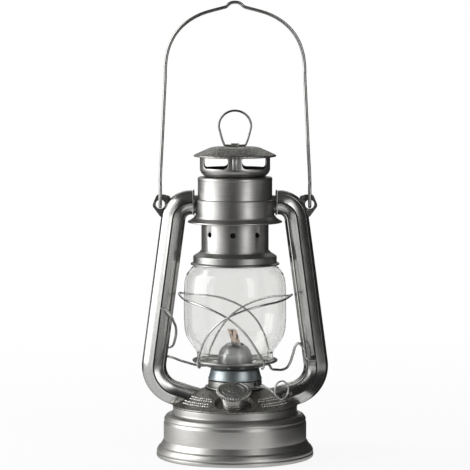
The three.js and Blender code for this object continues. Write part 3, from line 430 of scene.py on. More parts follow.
def sheet_piece(name: str, outline: Sequence[Corner], thickness: float,
                bevel: float = 0.0) -> Obj:
    """A flat plate in the XZ plane, cut to an outline.

    Args:
        name: the piece's name.
        outline: (x, z) corners in millimetres.
        thickness: along Y, in millimetres.
        bevel: width of the softened edges, in millimetres.

    Returns:
        The new piece, centred on y = 0.
    """
    obj = flat_face(name, [(x, -thickness / 2, z) for x, z in outline])
    edit_all()
    bpy.ops.mesh.extrude_region_move(TRANSFORM_OT_translate={"value": (0, thickness * MM, 0)})
    tidy_shell(obj)
    if bevel > 0:
        softened(obj, bevel, 30.0)
    return smooth_shaded(obj)


def mark_edges(obj: Obj) -> None:
    """Stores how hollow or proud each point of a piece is, as an attribute for its finish.

    Args:
        obj: the piece.
    """
    mesh = obj.data
    count = len(mesh.vertices)
    points = np.empty(count * 3, np.float32)
    normals = np.empty(count * 3, np.float32)
    ends = np.empty(len(mesh.edges) * 2, np.int32)
    mesh.vertices.foreach_get("co", points)
    mesh.vertices.foreach_get("normal", normals)
    mesh.edges.foreach_get("vertices", ends)
    points, normals, ends = points.reshape(-1, 3), normals.reshape(-1, 3), ends.reshape(-1, 2)
    first, second = ends[:, 0], ends[:, 1]
    run = points[second] - points[first]
    run /= np.maximum(np.linalg.norm(run, axis=1, keepdims=True), 1e-9)
    total, parts = np.zeros(count), np.zeros(count)
    np.add.at(total, first, np.sum(run * normals[first], axis=1))
    np.add.at(total, second, -np.sum(run * normals[second], axis=1))
    np.add.at(parts, ends.ravel(), 1)
    hollow = np.clip(total / np.maximum(parts, 1) * HOLLOW_GAIN, -HOLLOW_LIMIT, HOLLOW_LIMIT)
    attribute = mesh.attributes.new("hollow", "FLOAT", "POINT")
    attribute.data.foreach_set("value", hollow.astype(np.float32))


# Finishes


def feed(tree: Tree, socket: Socket, value: object) -> None:
    """Links an input socket to another socket, or sets its value.

    Args:
        tree: the node tree.
        socket: the input.
        value: the other socket, or the value.
    """
    if isinstance(value, bpy.types.NodeSocket):
        tree.links.new(value, socket)
    else:
        socket.default_value = value


def send(tree: Tree, node: Node, **values: object) -> Node:
    """Feeds several inputs of a node.

    Args:
        tree: the node tree.
        node: the node.
        values: a value or socket for each input, named with _ for a space.

    Returns:
        The node.
    """
    for key, value in values.items():
        feed(tree, node.inputs[key.replace("_", " ")], value)
    return node


def add_node(tree: Tree, kind: str, **values: object) -> Node:
    """Adds a shader node, sets its properties and feeds its inputs.

    Args:
        tree: the node tree.
        kind: the node's type name without its ShaderNode prefix.
        values: properties, or a value or socket for each input, named with _ for a space.

    Returns:
        The node.
    """
    node = tree.nodes.new("ShaderNode" + kind)
    for key, value in values.items():
        socket = node.inputs.get(key.replace("_", " "))
        if socket is not None:
            feed(tree, socket, value)
        else:
            setattr(node, key, value)
    return node


def math_node(tree: Tree, operation: str, a: object, b: object = 0.0) -> Socket:
    """A sum, product or test of two sockets or numbers.

    Args:
        tree: the node tree.
        operation: the node's operation; a sum is clamped.
        a: the first socket or number.
        b: the second one.

    Returns:
        The node's output.
    """
    node = tree.nodes.new("ShaderNodeMath")
    node.operation = operation
    node.use_clamp = operation == "ADD"
    feed(tree, node.inputs[0], a)
    feed(tree, node.inputs[1], b)
    return node.outputs[0]


def product(tree: Tree, a: object, b: object) -> Socket:
    """The product of two sockets or numbers."""
    return math_node(tree, "MULTIPLY", a, b)


def ramp(tree: Tree, value: Socket, given: Range, wanted: Range = (0.0, 1.0)) -> Socket:
    """Maps one range of a value to another, and returns the output."""
    return add_node(tree, "MapRange", Value=value, From_Min=given[0], From_Max=given[1],
                    To_Min=wanted[0], To_Max=wanted[1]).outputs[0]


def mixed(tree: Tree, how: str, share: object, first: object, second: object) -> Socket:
    """Mixes two colours by a share, and returns the output."""
    return add_node(tree, "MixRGB", blend_type=how, Fac=share, Color1=first,
                    Color2=second).outputs[0]


def own_place(tree: Tree) -> Socket:
    """The shaded point's place in its own object."""
    return add_node(tree, "TexCoord").outputs["Object"]


def bumped(tree: Tree, height: Socket, strength: float, distance: float) -> Socket:
    """The normal of a bumpy surface, from a height."""
    return add_node(tree, "Bump", Strength=strength, Distance=distance,
                    Height=height).outputs["Normal"]


def new_group(name: str, inputs: Iterable[tuple[str, str, object]],
              outputs: Iterable[tuple[str, str]]) -> tuple[Tree, dict[str, Socket], Node]:
    """Starts a shader node group.

    Args:
        name: the group's name.
        inputs: (name, Float, Vector or Color, default) for each input.
        outputs: (name, type) for each output.

    Returns:
        The tree, what its inputs give, and its output node.
    """
    tree = bpy.data.node_groups.new(name, "ShaderNodeTree")
    for label, kind, default in inputs:
        socket = tree.interface.new_socket(label, in_out="INPUT",
                                           socket_type="NodeSocket" + kind)
        socket.default_value = default
    for label, kind in outputs:
        tree.interface.new_socket(label, in_out="OUTPUT", socket_type="NodeSocket" + kind)
    return tree, tree.nodes.new("NodeGroupInput").outputs, tree.nodes.new("NodeGroupOutput")


class Effects:
    """The effects that several finishes share, each built once as a node group."""

    relief = (("Height", "Float"), ("Tone", "Float"))
    surface = (("Color", "Color"), ("Rough", "Float"))
    bare = (("Color", "Color", (0.5, 0.5, 0.5, 1)), ("Rough", "Float", 0.3))
    proud_range = (-0.06, -0.3)
    deep_range = (0.03, 0.22)
    rubbed_tint = (0.28, 0.28, 0.27, 1)
    # The hollows' tint: dirt together with painted shade
    dirt_and_shade_tint = (0.3, 0.29, 0.27, 1)
    hollow_roughness = 0.25
    rubbed_polish = 0.12
    tarnish_tint = (0.45, 0.44, 0.42, 1)
    tarnish_roughness = 0.5

    def __init__(self) -> None:
        """Builds the groups."""
        self.grain = self.build_grain()
        self.hammering = self.build_hammering()
        self.wear_and_shade = self.build_wear_and_shade()
        self.tarnish = self.build_tarnish()

    def build_grain(self) -> Tree:
        """Fine polishing lines: a height, and a tone about a half.

        Returns:
            The group.
        """
        tree, given, out = new_group(
            "polishing_lines", [("Stretch", "Vector", Grain.ROUND.value), ("Depth", "Float", 0.5)],
            self.relief)
        mapping = add_node(tree, "Mapping", Vector=own_place(tree), Scale=given["Stretch"])
        noise = add_node(tree, "TexNoise", Vector=mapping.outputs["Vector"], Scale=1.0,
                         Detail=3.0, Roughness=0.6).outputs["Fac"]
        send(tree, out, Height=product(tree, noise, given["Depth"]), Tone=noise)
        return tree

    def build_hammering(self) -> Tree:
        """Pressed-in grain, as small domed cells.

        Returns:
            The group.
        """
        tree, given, out = new_group(
            "pressed_grain", [("Size", "Float", 900.0), ("Depth", "Float", 0.5)], self.relief)
        place = own_place(tree)
        cells = add_node(tree, "TexVoronoi", Vector=place, Scale=given["Size"], Randomness=0.85)
        noise = add_node(tree, "TexNoise", Vector=place, Scale=given["Size"], Detail=4.0)
        both = product(tree, cells.outputs["Distance"], noise.outputs["Fac"])
        send(tree, out, Height=product(tree, both, given["Depth"]), Tone=both)
        return tree

    def build_wear_and_shade(self) -> Tree:
        """Rubbed edges, and dirt with painted shade darkening the hollows, from each piece's own
        hollow attribute.

        Returns:
            The group.
        """
        tree, given, out = new_group(
            "worn_edges_and_shade", [*self.bare, ("Wear", "Float", 0.4), ("Grime", "Float", 0.5)],
            self.surface)
        hollow = add_node(tree, "Attribute", attribute_name="hollow").outputs["Fac"]
        noise = add_node(tree, "TexNoise", Vector=own_place(tree), Scale=180.0,
                         Detail=4.0).outputs["Fac"]
        proud = ramp(tree, hollow, self.proud_range)
        deep = ramp(tree, hollow, self.deep_range)
        wear = product(tree, product(tree, proud, noise), given["Wear"])
        # Darkens the hollows: dirt together with painted shade
        dirt_and_shade = product(tree, deep, given["Grime"])
        lighter = mixed(tree, "ADD", wear, given["Color"], self.rubbed_tint)
        rough = math_node(tree, "ADD", given["Rough"], product(tree, dirt_and_shade, self.hollow_roughness))
        send(tree, out, Color=mixed(tree, "MULTIPLY", dirt_and_shade, lighter, self.dirt_and_shade_tint),
             Rough=math_node(tree, "SUBTRACT", rough, product(tree, wear, self.rubbed_polish)))
        return tree

    def build_tarnish(self) -> Tree:
        """Slow cloudiness of bare metal: a colour and a roughness.

        Returns:
            The group.
        """
        tree, given, out = new_group(
            "cloudy_metal", [*self.bare, ("Cloud", "Float", 0.12), ("Size", "Float", 70.0)],
            self.surface)
        noise = add_node(tree, "TexNoise", Vector=own_place(tree), Scale=given["Size"],
                         Detail=5.0, Roughness=0.6)
        part = product(tree, noise.outputs["Fac"], given["Cloud"])
        more = product(tree, part, self.tarnish_roughness)
        send(tree, out, Color=mixed(tree, "MULTIPLY", part, given["Color"], self.tarnish_tint),
             Rough=math_node(tree, "ADD", given["Rough"], more))
        return tree


effects: Effects = None


def placed_group(tree: Tree, group: Tree, **values: object) -> Node:
    """Places an effect in a material.

    Args:
        tree: the material's tree.
        group: the effect.
        values: a value or socket for each of its inputs.

    Returns:
        The effect's node.
    """
    node = tree.nodes.new("ShaderNodeGroup")
    node.node_tree = group
    return send(tree, node, **values)


def new_material(name: str) -> tuple[bpy.types.Material, Tree, Node]:
    """Starts a material.

    Args:
        name: its name.

    Returns:
        The material, its tree and its shader.
    """
    material = bpy.data.materials.new(name)
    material.use_nodes = True
    return material, material.node_tree, material.node_tree.nodes["Principled BSDF"]


@dataclass(frozen=True)
class MetalFinish:
    """A bare metal: its colour, polish, polishing lines, pressed grain, wear, and dirt with
    painted shade in its hollows.
    """

    name: str
    colour: Colour
    roughness: float = 0.3
    grain: Grain = Grain.ROUND
    grain_depth: float = 0.25
    pressed_depth: float = 0.0
    pressed_size: float = 900.0
    cloud: float = 0.3
    wear: float = 0.45
    # How much dirt and painted shade darken the hollows
    dirt_and_shade: float = 0.6
    metallic: float = 1.0
    streaks: float = 0.1
    edge_shade: float = 0.35
    tone_range: Range = (0.3, 0.7)
    pressed_range: Range = (0.05, 0.35)
    pressed_tones: Range = (0.4, 1.5)
    bump: Range = (0.5, 0.0004)

    def build(self) -> bpy.types.Material:
        """Builds the material.

        Returns:
            The material.
        """
        material, tree, shader = new_material(self.name)
        cloud = placed_group(tree, effects.tarnish, Color=(*self.colour, 1),
                             Rough=self.roughness, Cloud=self.cloud).outputs
        # Worn edges, and dirt with painted shade in the hollows
        rubbed = placed_group(tree, effects.wear_and_shade, Color=cloud["Color"], Rough=cloud["Rough"],
                              Wear=self.wear, Grime=self.dirt_and_shade).outputs
        lines = placed_group(tree, effects.grain, Stretch=self.grain.value,
                             Depth=self.grain_depth).outputs
        height = lines["Height"]
        streak = ramp(tree, lines["Tone"], self.tone_range, (1 - self.streaks, 1 + self.streaks))
        colour = mixed(tree, "MULTIPLY", 1.0, rubbed["Color"], streak)
        if self.pressed_depth > 0:
            pressed = placed_group(tree, effects.hammering, Size=self.pressed_size,
                                   Depth=self.pressed_depth).outputs
            height = math_node(tree, "ADD", height, pressed["Height"])
            shade = ramp(tree, pressed["Tone"], self.pressed_range, self.pressed_tones)
            colour = mixed(tree, "MULTIPLY", 1.0, colour, shade)
        send(tree, shader, Base_Color=colour, Roughness=rubbed["Rough"], Metallic=self.metallic,
             Specular_Tint=(self.edge_shade, self.edge_shade, self.edge_shade, 1),
             Normal=bumped(tree, height, *self.bump))
        return material


@dataclass(frozen=True)
class GlassFinish:
    """Clear lamp glass, with a faint grey that is painted shade."""

    name: str
    colour: Colour
    roughness: float = 0.012
    bending: float = 1.4
    mirroring: float = 0.35
    streaks: Place = (30.0, 30.0, 90.0)
    bump: Range = (0.02, 0.001)

    def build(self) -> bpy.types.Material:
        """Builds the material.

        Returns:
            The material.
        """
        material, tree, shader = new_material(self.name)
        streaks = placed_group(tree, effects.grain, Stretch=self.streaks, Depth=0.2).outputs
        cloud = placed_group(tree, effects.tarnish, Color=(*self.colour, 1),
                             Rough=self.roughness, Cloud=0.03, Size=40.0).outputs
        send(tree, shader, Base_Color=cloud["Color"], Roughness=cloud["Rough"],
             Transmission_Weight=1.0, IOR=self.bending, Specular_IOR_Level=self.mirroring,
             Normal=bumped(tree, streaks["Height"], *self.bump))
        return material


@dataclass(frozen=True)
class CottonFinish:
    """Woven wick cotton with a dark tracer thread."""

    name: str
    colour: Colour
    tracer: Colour
    rib_scale: float = 50 / 1.1
    weft_scale: float = 50 / 0.77
    dash_scale: float = 60.0
    fuzz_scale: float = 1600.0
    tracer_offset: float = 0.0022
    tracer_half_width: float = 0.0006
    stitch_share: float = 0.45
    hollow_shade: float = 0.6
    fuzz_height: float = 0.4
    roughness: Range = (0.82, 0.98)
    bump: Range = (0.8, 0.0004)

    def threads(self, tree: Tree, place: Socket, run: str, scale: float,
                distortion: float) -> Socket:
        """Waves that stand for rows of threads.

        Args:
            tree: the material's tree.
            place: the point on the strip.
            run: the axis across the rows, or DIAGONAL.
            scale: how close the rows are.
            distortion: how far they stray.

        Returns:
            The waves' output.
        """
        return add_node(tree, "TexWave", wave_type="BANDS", bands_direction=run, Vector=place,
                        Scale=scale, Distortion=distortion).outputs["Fac"]

    def build(self) -> bpy.types.Material:
        """Builds the material.

        Returns:
            The material.
        """
        material, tree, shader = new_material(self.name)
        place = add_node(tree, "Mapping", Vector=own_place(tree),
                         Rotation=(0, 0, -math.radians(BURNER_YAW))).outputs["Vector"]
        ribs = self.threads(tree, place, "X", self.rib_scale, 1.2)
        weft = self.threads(tree, place, "Z", self.weft_scale, 0.8)
        dashes = self.threads(tree, place, "DIAGONAL", self.dash_scale, 0.6)
        fuzz = add_node(tree, "TexNoise", Vector=place, Scale=self.fuzz_scale,
                        Detail=4.0).outputs["Fac"]
        across = add_node(tree, "SeparateXYZ", Vector=place).outputs["X"]
        beside = math_node(tree, "SUBTRACT", math_node(tree, "ABSOLUTE", across),
                           self.tracer_offset)
        middle = math_node(tree, "LESS_THAN", math_node(tree, "ABSOLUTE", beside),
                           self.tracer_half_width)
        stitch = math_node(tree, "GREATER_THAN", dashes, self.stitch_share)
        weave = product(tree, ribs, weft)
        hollow = (*(part * self.hollow_shade for part in self.colour), 1)
        body = mixed(tree, "MIX", weave, (*self.colour, 1), hollow)
        height = math_node(tree, "ADD", weave, product(tree, fuzz, self.fuzz_height))
        send(tree, shader, Sheen_Weight=0.3, Normal=bumped(tree, height, *self.bump),
             Base_Color=mixed(tree, "MIX", product(tree, middle, stitch), body,
                              (*self.tracer, 1)),
             Roughness=ramp(tree, fuzz, (0.0, 1.0), self.roughness))
        return material


class Finish(Enum):
    """The lantern's finishes."""

    TANK = MetalFinish("satin_zinc", (0.5, 0.495, 0.48), 0.32, wear=0.3)
    HOOD = MetalFinish("satin_hood", (0.52, 0.515, 0.505), 0.3, wear=0.35)
    COLLAR = MetalFinish("satin_collar", (0.44, 0.44, 0.43), 0.3, grain_depth=0.4)
    DOME = MetalFinish("pressed_dome", (0.3, 0.295, 0.28), 0.26, Grain.EVEN, 0.15, 1.6,
                       dirt_and_shade=1.0)
    CAP = MetalFinish("pressed_cap", (0.34, 0.335, 0.32), 0.3, Grain.EVEN, 0.15, 2.2, 620.0,
                      dirt_and_shade=1.0)
    SCREW_CAP = MetalFinish("knurled_cap", (0.42, 0.42, 0.405), 0.36, Grain.EVEN, 0.2, 1.2,
                            700.0, dirt_and_shade=1.0)
    PIP = MetalFinish("rubbed_pips", (0.85, 0.84, 0.82), 0.22, Grain.EVEN, 0.1, edge_shade=0.9)
    THREAD = MetalFinish("threaded_neck", (0.62, 0.61, 0.59), 0.3, Grain.ROUND, 0.2, dirt_and_shade=1.0)
    # Near-black and dull: painted shade for the inside of the flue
    INSIDE_SHADE = MetalFinish("painted_shade_inside", (0.03, 0.029, 0.028), 0.7, Grain.EVEN, 0.4, metallic=0.0)
    BURNER_BASE = MetalFinish("grey_burner_base", (0.44, 0.44, 0.42), 0.3, Grain.EVEN, 0.3,
                              cloud=0.45)
    BURNER = MetalFinish("blue_zinc", (0.52, 0.585, 0.61), 0.3, Grain.EVEN, 0.3, cloud=0.45)
    FLAME_DOME = MetalFinish("grey_burner_dome", (0.44, 0.45, 0.45), 0.3)
    PLATE = MetalFinish("globe_plate_steel", (0.42, 0.42, 0.405), 0.28, dirt_and_shade=0.9)
    TUBE = MetalFinish("polished_tube", (0.5, 0.5, 0.49), 0.12, Grain.EVEN, 0.12, wear=0.5,
                       dirt_and_shade=1.0)
    FLANGE = MetalFinish("dark_flange", (0.34, 0.34, 0.33), 0.22, Grain.EVEN, 0.2)
    EAR = MetalFinish("stamped_ear", (0.2, 0.2, 0.195), 0.38, Grain.EVEN, 0.4, 0.3)
    BAIL = MetalFinish("drawn_wire", (0.4, 0.4, 0.39), 0.24, Grain.LENGTHWISE, 0.3)
    RING = MetalFinish("dark_wire", (0.3, 0.3, 0.29), 0.28, Grain.EVEN, 0.3)
    BRIGHT_WIRE = MetalFinish("bright_wire", (0.56, 0.56, 0.55), 0.2, Grain.EVEN, 0.2)
    KNOB_WIRE = MetalFinish("pale_knob_wire", (0.85, 0.84, 0.82), 0.34, Grain.EVEN, 0.15,
                            edge_shade=0.9)
    BRASS = MetalFinish("burner_brass", (0.5, 0.4, 0.2), 0.32, Grain.EVEN, 0.3)
    RUBBER = MetalFinish("gasket_rubber", (0.035, 0.033, 0.03), 0.6, Grain.EVEN, 0.4,
                         metallic=0.0)
    # The glass's faint grey is painted shade for darker surroundings
    GLASS = GlassFinish("lamp_glass", (0.885, 0.885, 0.875))
    COTTON = CottonFinish("wick_cotton", (0.86, 0.68, 0.56), (0.05, 0.04, 0.04))


finished: dict[Finish, bpy.types.Material] = {}


def finish_of(finish: Finish) -> bpy.types.Material:
    """Finds the material of a finish, and builds it at its first use.

    Args:
        finish: the finish.

    Returns:
        The material.
    """
    if finish not in finished:
        finished[finish] = finish.value.build()
    return finished[finish]


def dress(obj: Obj, finish: Finish) -> None:
    """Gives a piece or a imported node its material."""
    obj.data.materials.clear()
    obj.data.materials.append(finish_of(finish))


@dataclass
class SubAssembly:
    """Pieces that ride together. Each class below builds one such group."""

    body: str

    def fit(self, obj: Obj, finish: Finish, slot: str, *nodes: str) -> Obj:
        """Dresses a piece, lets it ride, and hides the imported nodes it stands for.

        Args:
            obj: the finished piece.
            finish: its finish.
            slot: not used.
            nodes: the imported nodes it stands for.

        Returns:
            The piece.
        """
        mark_edges(obj)
        dress(obj, finish)
        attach(obj, self.body)
        if nodes:
            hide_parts(*nodes)
        log.info("%s: %d faces on %s", obj.name, len(obj.data.polygons), self.body)
        return obj

    def fit_turned(self, name: str, corners: Sequence[Corner], steps: int, finish: Finish,
                   node: str) -> Obj:
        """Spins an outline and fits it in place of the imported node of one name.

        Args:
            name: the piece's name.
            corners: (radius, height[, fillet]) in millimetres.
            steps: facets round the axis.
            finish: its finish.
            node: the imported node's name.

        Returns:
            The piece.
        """
        return self.fit(turned(name, corners, steps), finish, node, node)


# Pieces


@dataclass
class Tank(SubAssembly):
    """The fuel tank: drawn wall with flared foot, and bottom plate."""

    foot: float = 64.5
    wall: float = 58.6
    neck: float = 51.0
    neck_foot: float = 36.3
    rim_height: float = 41.5
    flare: Outline = (
        (63.6, 3.7, 0.35), (64.35, 4.4, 0.5), (64.1, 6.0, 1.2), (62.7, 8.4, 2.2),
        (60.3, 10.4, 1.6), (59.6, 11.6, 0.6), (58.3, 12.2, 0.3))
    shoulder: Outline = (
        (58.6, 27.8, 0.4), (57.8, 30.0, 0.2), (57.8, 30.3, 0.2), (58.2, 30.7, 0.4),
        (58.1, 31.7, 0.9), (56.5, 34.0, 2.2), (54.0, 35.3, 1.2), (52.0, 35.3, 0.7))
    inside: Outline = (
        (56.9, 30.4, 2), (57.6, 26, 2), (57.6, 16, 2), (63.3, 6, 1), (63.4, 1.4, 1),
        (61.0, SHEET))
    plate: Outline = (
        (0, 4.2), (50, 4.2, 2), (56.5, 1.05, 2), (62.5, 1.05), (62.5, 1.75), (57, 1.75, 2),
        (50.4, 4.9, 2), (0, 4.9))

    def build(self) -> None:
        """Builds the wall and the bottom plate."""
        corners = [
            (61.0, 0), (self.foot - 1, 0, 0.9), (self.foot, 0.9, 0.9), (self.foot, 3.0, 0.7),
            *self.flare, (self.wall, 13.0, 0.4), *self.shoulder,
            (self.neck + 0.1, self.neck_foot, 0.5), (self.neck, self.neck_foot + 0.9, 0.6),
            (self.neck, self.rim_height, 0.3), (self.neck - SHEET, self.rim_height, 0.3),
            (self.neck - SHEET, self.neck_foot - 0.3, 0.5), *self.inside]
        self.fit_turned("tank_body", corners, 160, Finish.TANK, "tank_wall")
        self.fit_turned("tank_base", self.plate, 96, Finish.TANK, "tank_bottom")


@dataclass
class AirDome(SubAssembly):
    """The pressed lid of the tank, with the filler's recess and its bands of raised pips."""

    seam: float = 51.4
    seam_height: float = 41.8
    mouth: float = 22.6
    top_height: float = 56.4
    slope: Outline = (
        (48.0, 44.2), (45.2, 46.0), (42.1, 47.9), (39.0, 49.7), (35.9, 51.3), (32.8, 52.85),
        (29.9, 54.2), (27.0, 55.2), (24.6, 56.0))
    recess: Outline = (
        (0, -0.1), (10.4, -0.1, 0.8), (11.6, 1.2, 1), (12.4, 3.5, 1), (14.6, 6.2, 1.5),
        (20.0, 8.4), (20.0, 26), (0, 26))
    recess_spread: float = 1.32
    seat: Outline = (
        (22.3, 56.7), (24.5, 56.7, 0.3), (24.7, 57.2, 0.3), (24.3, 57.8, 0.3), (22.3, 57.8))
    band_radii: tuple[float, ...] = (45.4, 43.0, 39.6, 37.2)
    band_ends: Range = (29.0, 72.0)
    pip_pitch: float = 2.3
    pip_size: Place = (0.95, 0.72, 0.75)
    short_pip: float = 0.6

    def surface_height(self, radius: float) -> float:
        """Height of the dome's outer side at a radius, in millimetres."""
        radii, heights = zip(*reversed(self.slope))
        return float(np.interp(radius, radii, heights))

    def pip(self, length: float, radius: float, degrees: float) -> Obj:
        """One raised lozenge.

        Args:
            length: its half length in millimetres.
            radius: its distance from the middle, in millimetres.
            degrees: its angle round the middle.

        Returns:
            The lozenge.
        """
        fall = self.surface_height(radius - 2) - self.surface_height(radius + 2)
        start_clear()
        bpy.ops.mesh.primitive_ico_sphere_add(subdivisions=2, radius=MM)
        return moved(bpy.context.object, Matrix.Diagonal((length, *self.pip_size[1:], 1)),
                     turn(90, "Z"), turn(math.degrees(math.atan2(fall, 4)), "Y"),
                     shift(radius, 0, self.surface_height(radius)), turn(degrees, "Z"))

    def pips(self) -> Obj:
        """Two bands of small raised lozenges on each side of the recess.

        Returns:
            All of them, as one piece.
        """
        made = []
        for row, radius in enumerate(self.band_radii):
            pitch = math.degrees(self.pip_pitch / radius)
            low, high = self.band_ends
            for side in (-1, 1):
                for i in range(int((high - low) / pitch)):
                    angle = low + (i + 0.5 * (row % 2)) * pitch
                    length = self.pip_size[0] if (i + row) % 3 else self.short_pip
                    made.append(self.pip(length, radius, side * angle - 90))
        return joined("dome_pips", made)

    def build(self) -> None:
        """Builds the dome with its recess, the pips, and the ring that the burner stands on."""
        corners = [
            (self.mouth, self.seam_height), (self.seam, self.seam_height, 0.4),
            (self.seam, self.seam_height + 0.9, 0.4), (50.7, 43.0, 0.3), (50.0, 42.9, 0.3),
            *self.slope, (self.mouth, self.top_height)]
        dome = turned("air_dome_pressing", corners, 160)
        cut(dome, moved(turned("recess", self.recess, 64),
                        Matrix.Diagonal((self.recess_spread, 1, 1, 1)),
                        turn(FILLER_LEAN, "X"), shift(*FILLER_PLACE)))
        softened(dome, 0.7, 35, 3)
        self.fit(smooth_shaded(dome, 50), Finish.DOME, "air_dome", "air_dome")
        self.fit(smooth_shaded(self.pips(), 80), Finish.PIP, "air_dome")
        self.fit_turned("burner_ring", self.seat, 96, Finish.PLATE, "burner_seat")


@dataclass
class OnFiller(SubAssembly):
    """A round piece on the filler's leaning axis."""

    def fit_seated(self, piece: Obj, finish: Finish, node: str) -> None:
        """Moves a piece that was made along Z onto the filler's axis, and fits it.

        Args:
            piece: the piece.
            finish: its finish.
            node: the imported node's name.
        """
        moved(piece, turn(FILLER_LEAN, "X"), shift(*FILLER_PLACE))
        self.fit(piece, finish, node, node)


@dataclass
class Filler(OnFiller):
    """The threaded filler neck, which stays on the tank."""

    neck: float = 9.4
    neck_top: float = 9.4
    bore: float = 7.8
    thread_low: float = 0.9
    thread_pitch: float = 2.05
    thread_taper: float = 0.5
    threads: int = 4
    foot: Outline = (
        (7.0, -9.5), (8.0, -9.5), (8.0, 0.3, 0.2), (8.7, 0.3, 0.2), (8.7, 0.8, 0.2))
    ridge: Outline = ((-1.1, 0.1, 0.1), (-1.1, 0.8, 0.1), (-0.2, 1.1, 0.2), (0.0, 1.8, 0.2))

    def build(self) -> None:
        """Builds the neck with its rolled thread."""
        corners = list(self.foot)
        for i in range(self.threads):
            low = self.thread_low + i * self.thread_pitch
            crest = self.neck + (i - 1.5) * self.thread_taper
            corners += [(crest + out, low + up, fillet) for out, up, fillet in self.ridge]
        corners += [(self.neck, self.neck_top, 0.2), (self.bore, self.neck_top),
                    (self.bore, 1.2), (7.0, 0.2)]
        self.fit_seated(turned("filler_screw_neck", corners, 64), Finish.THREAD, "filler_neck")


@dataclass
class Gasket(OnFiller):
    """The rubber washer between neck and cap."""

    washer: Outline = ((8.5, 9.7, 0.1), (10.2, 9.7, 0.2), (10.2, 10.7, 0.2), (8.5, 10.7, 0.2))

    def build(self) -> None:
        """Builds the washer."""
        self.fit_seated(turned("filler_washer", self.washer, 64), Finish.RUBBER, "filler_gasket")


@dataclass
class ScrewCap(OnFiller):
    """The screw cap: knurled skirt, dished top with a raised rim, and the plug inside."""

    radius: float = 14.3
    bottom: float = 11.0
    height: float = 3.2
    knurls: int = 40
    knurl_share: float = 0.045
    knurl_from: float = 12.6
    knurl_run_out: float = 0.6
    top: Outline = (
        (13.1, 0, 0.5), (11.9, 0.6, 0.4), (11.2, 0.05, 0.3), (9.3, -0.05, 0.3),
        (8.9, 0.16, 0.3), (8.3, 0.16, 0.3), (7.9, -0.1, 0.3), (4.6, -0.1, 0.6),
        (3.9, 0.2, 0.4), (0, 0.35, 0))

    def knurl(self, cap: Obj, below: float) -> None:
        """Presses the knurls into the skirt.

        Args:
            cap: the cap, standing upright.
            below: the height that they stay under, in millimetres.
        """
        for vertex in cap.data.vertices:
            radius = math.hypot(vertex.co.x, vertex.co.y) / MM
            if radius > self.knurl_from and vertex.co.z < below * MM:
                wave = math.cos(math.atan2(vertex.co.y, vertex.co.x) * self.knurls)
                depth = min(1.0, (radius - self.knurl_from) / self.knurl_run_out)
                share = 1 - self.knurl_share * (1 - wave) * depth
                vertex.co.x *= share
                vertex.co.y *= share

    def build(self) -> None:
        """Builds the cap."""
        low, high = self.bottom, self.bottom + self.height
        corners = [
            (0, low - 5), (7.4, low - 5, 0.5), (7.6, low, 0.2), (12.4, low, 0.3),
            (self.radius - 1.3, low + 0.3, 0.3), (self.radius, high - 1.2, 0.3),
            (self.radius, high - 0.7, 0.5),
            *((r, high + up, fillet) for r, up, fillet in self.top)]
        cap = turned("filler_screw_cap", corners, self.knurls * 4)
        self.knurl(cap, high - 0.2)
        self.fit_seated(smooth_shaded(cap, SEATED_SMOOTH_ANGLE), Finish.SCREW_CAP, "filler_cap")


@dataclass
class Burner(SubAssembly):
    """The burner body, in two halves with a rolled joint."""

    radius: float = 22.0
    base: Outline = (
        (16.3, 48.0), (17.0, 48.0, 0.2), (17.0, 53.4, 0.4), (20.3, 53.6, 1.2),
        (21.7, 55.4, 1.6), (22.0, 58.5, 2), (22.0, 62.6, 0.4), (21.3, 63.0, 0.3), (20.8, 62.8),
        (20.8, 56.4, 1.4), (19.4, 54.4, 1), (16.3, 54.3))
    gallery: Outline = (
        (21.3, 63.5), (22.0, 63.6, 0.4), (22.0, 64.6, 0.6), (21.5, 65.5, 0.8), (20.6, 68.6, 3),
        (20.0, 71.4, 1), (19.4, 72.4, 0.6), (18.4, 72.7, 0.5), (15.4, 72.7), (15.4, 72.0),
        (18.2, 72.0, 0.8), (19.2, 70.8, 1), (20.6, 65.4, 1), (21.2, 64.4, 0.4))
    shaft_slot: Place = (22, 2.6, 6.6)

    def build(self) -> None:
        """Builds both halves, the lower one with the shaft's slot."""
        lower = turned("burner_lower", self.base, 112)
        cut(lower, moved(block(self.shaft_slot), shift(self.radius, -SHAFT_OFFSET, SHAFT_HEIGHT),
                         turn(BURNER_YAW, "Z")))
        self.fit(smooth_shaded(lower, SEATED_SMOOTH_ANGLE), Finish.BURNER_BASE, "burner_base",
                 "burner_base")
        self.fit_turned("burner_upper", self.gallery, 112, Finish.BURNER, "burner_gallery")


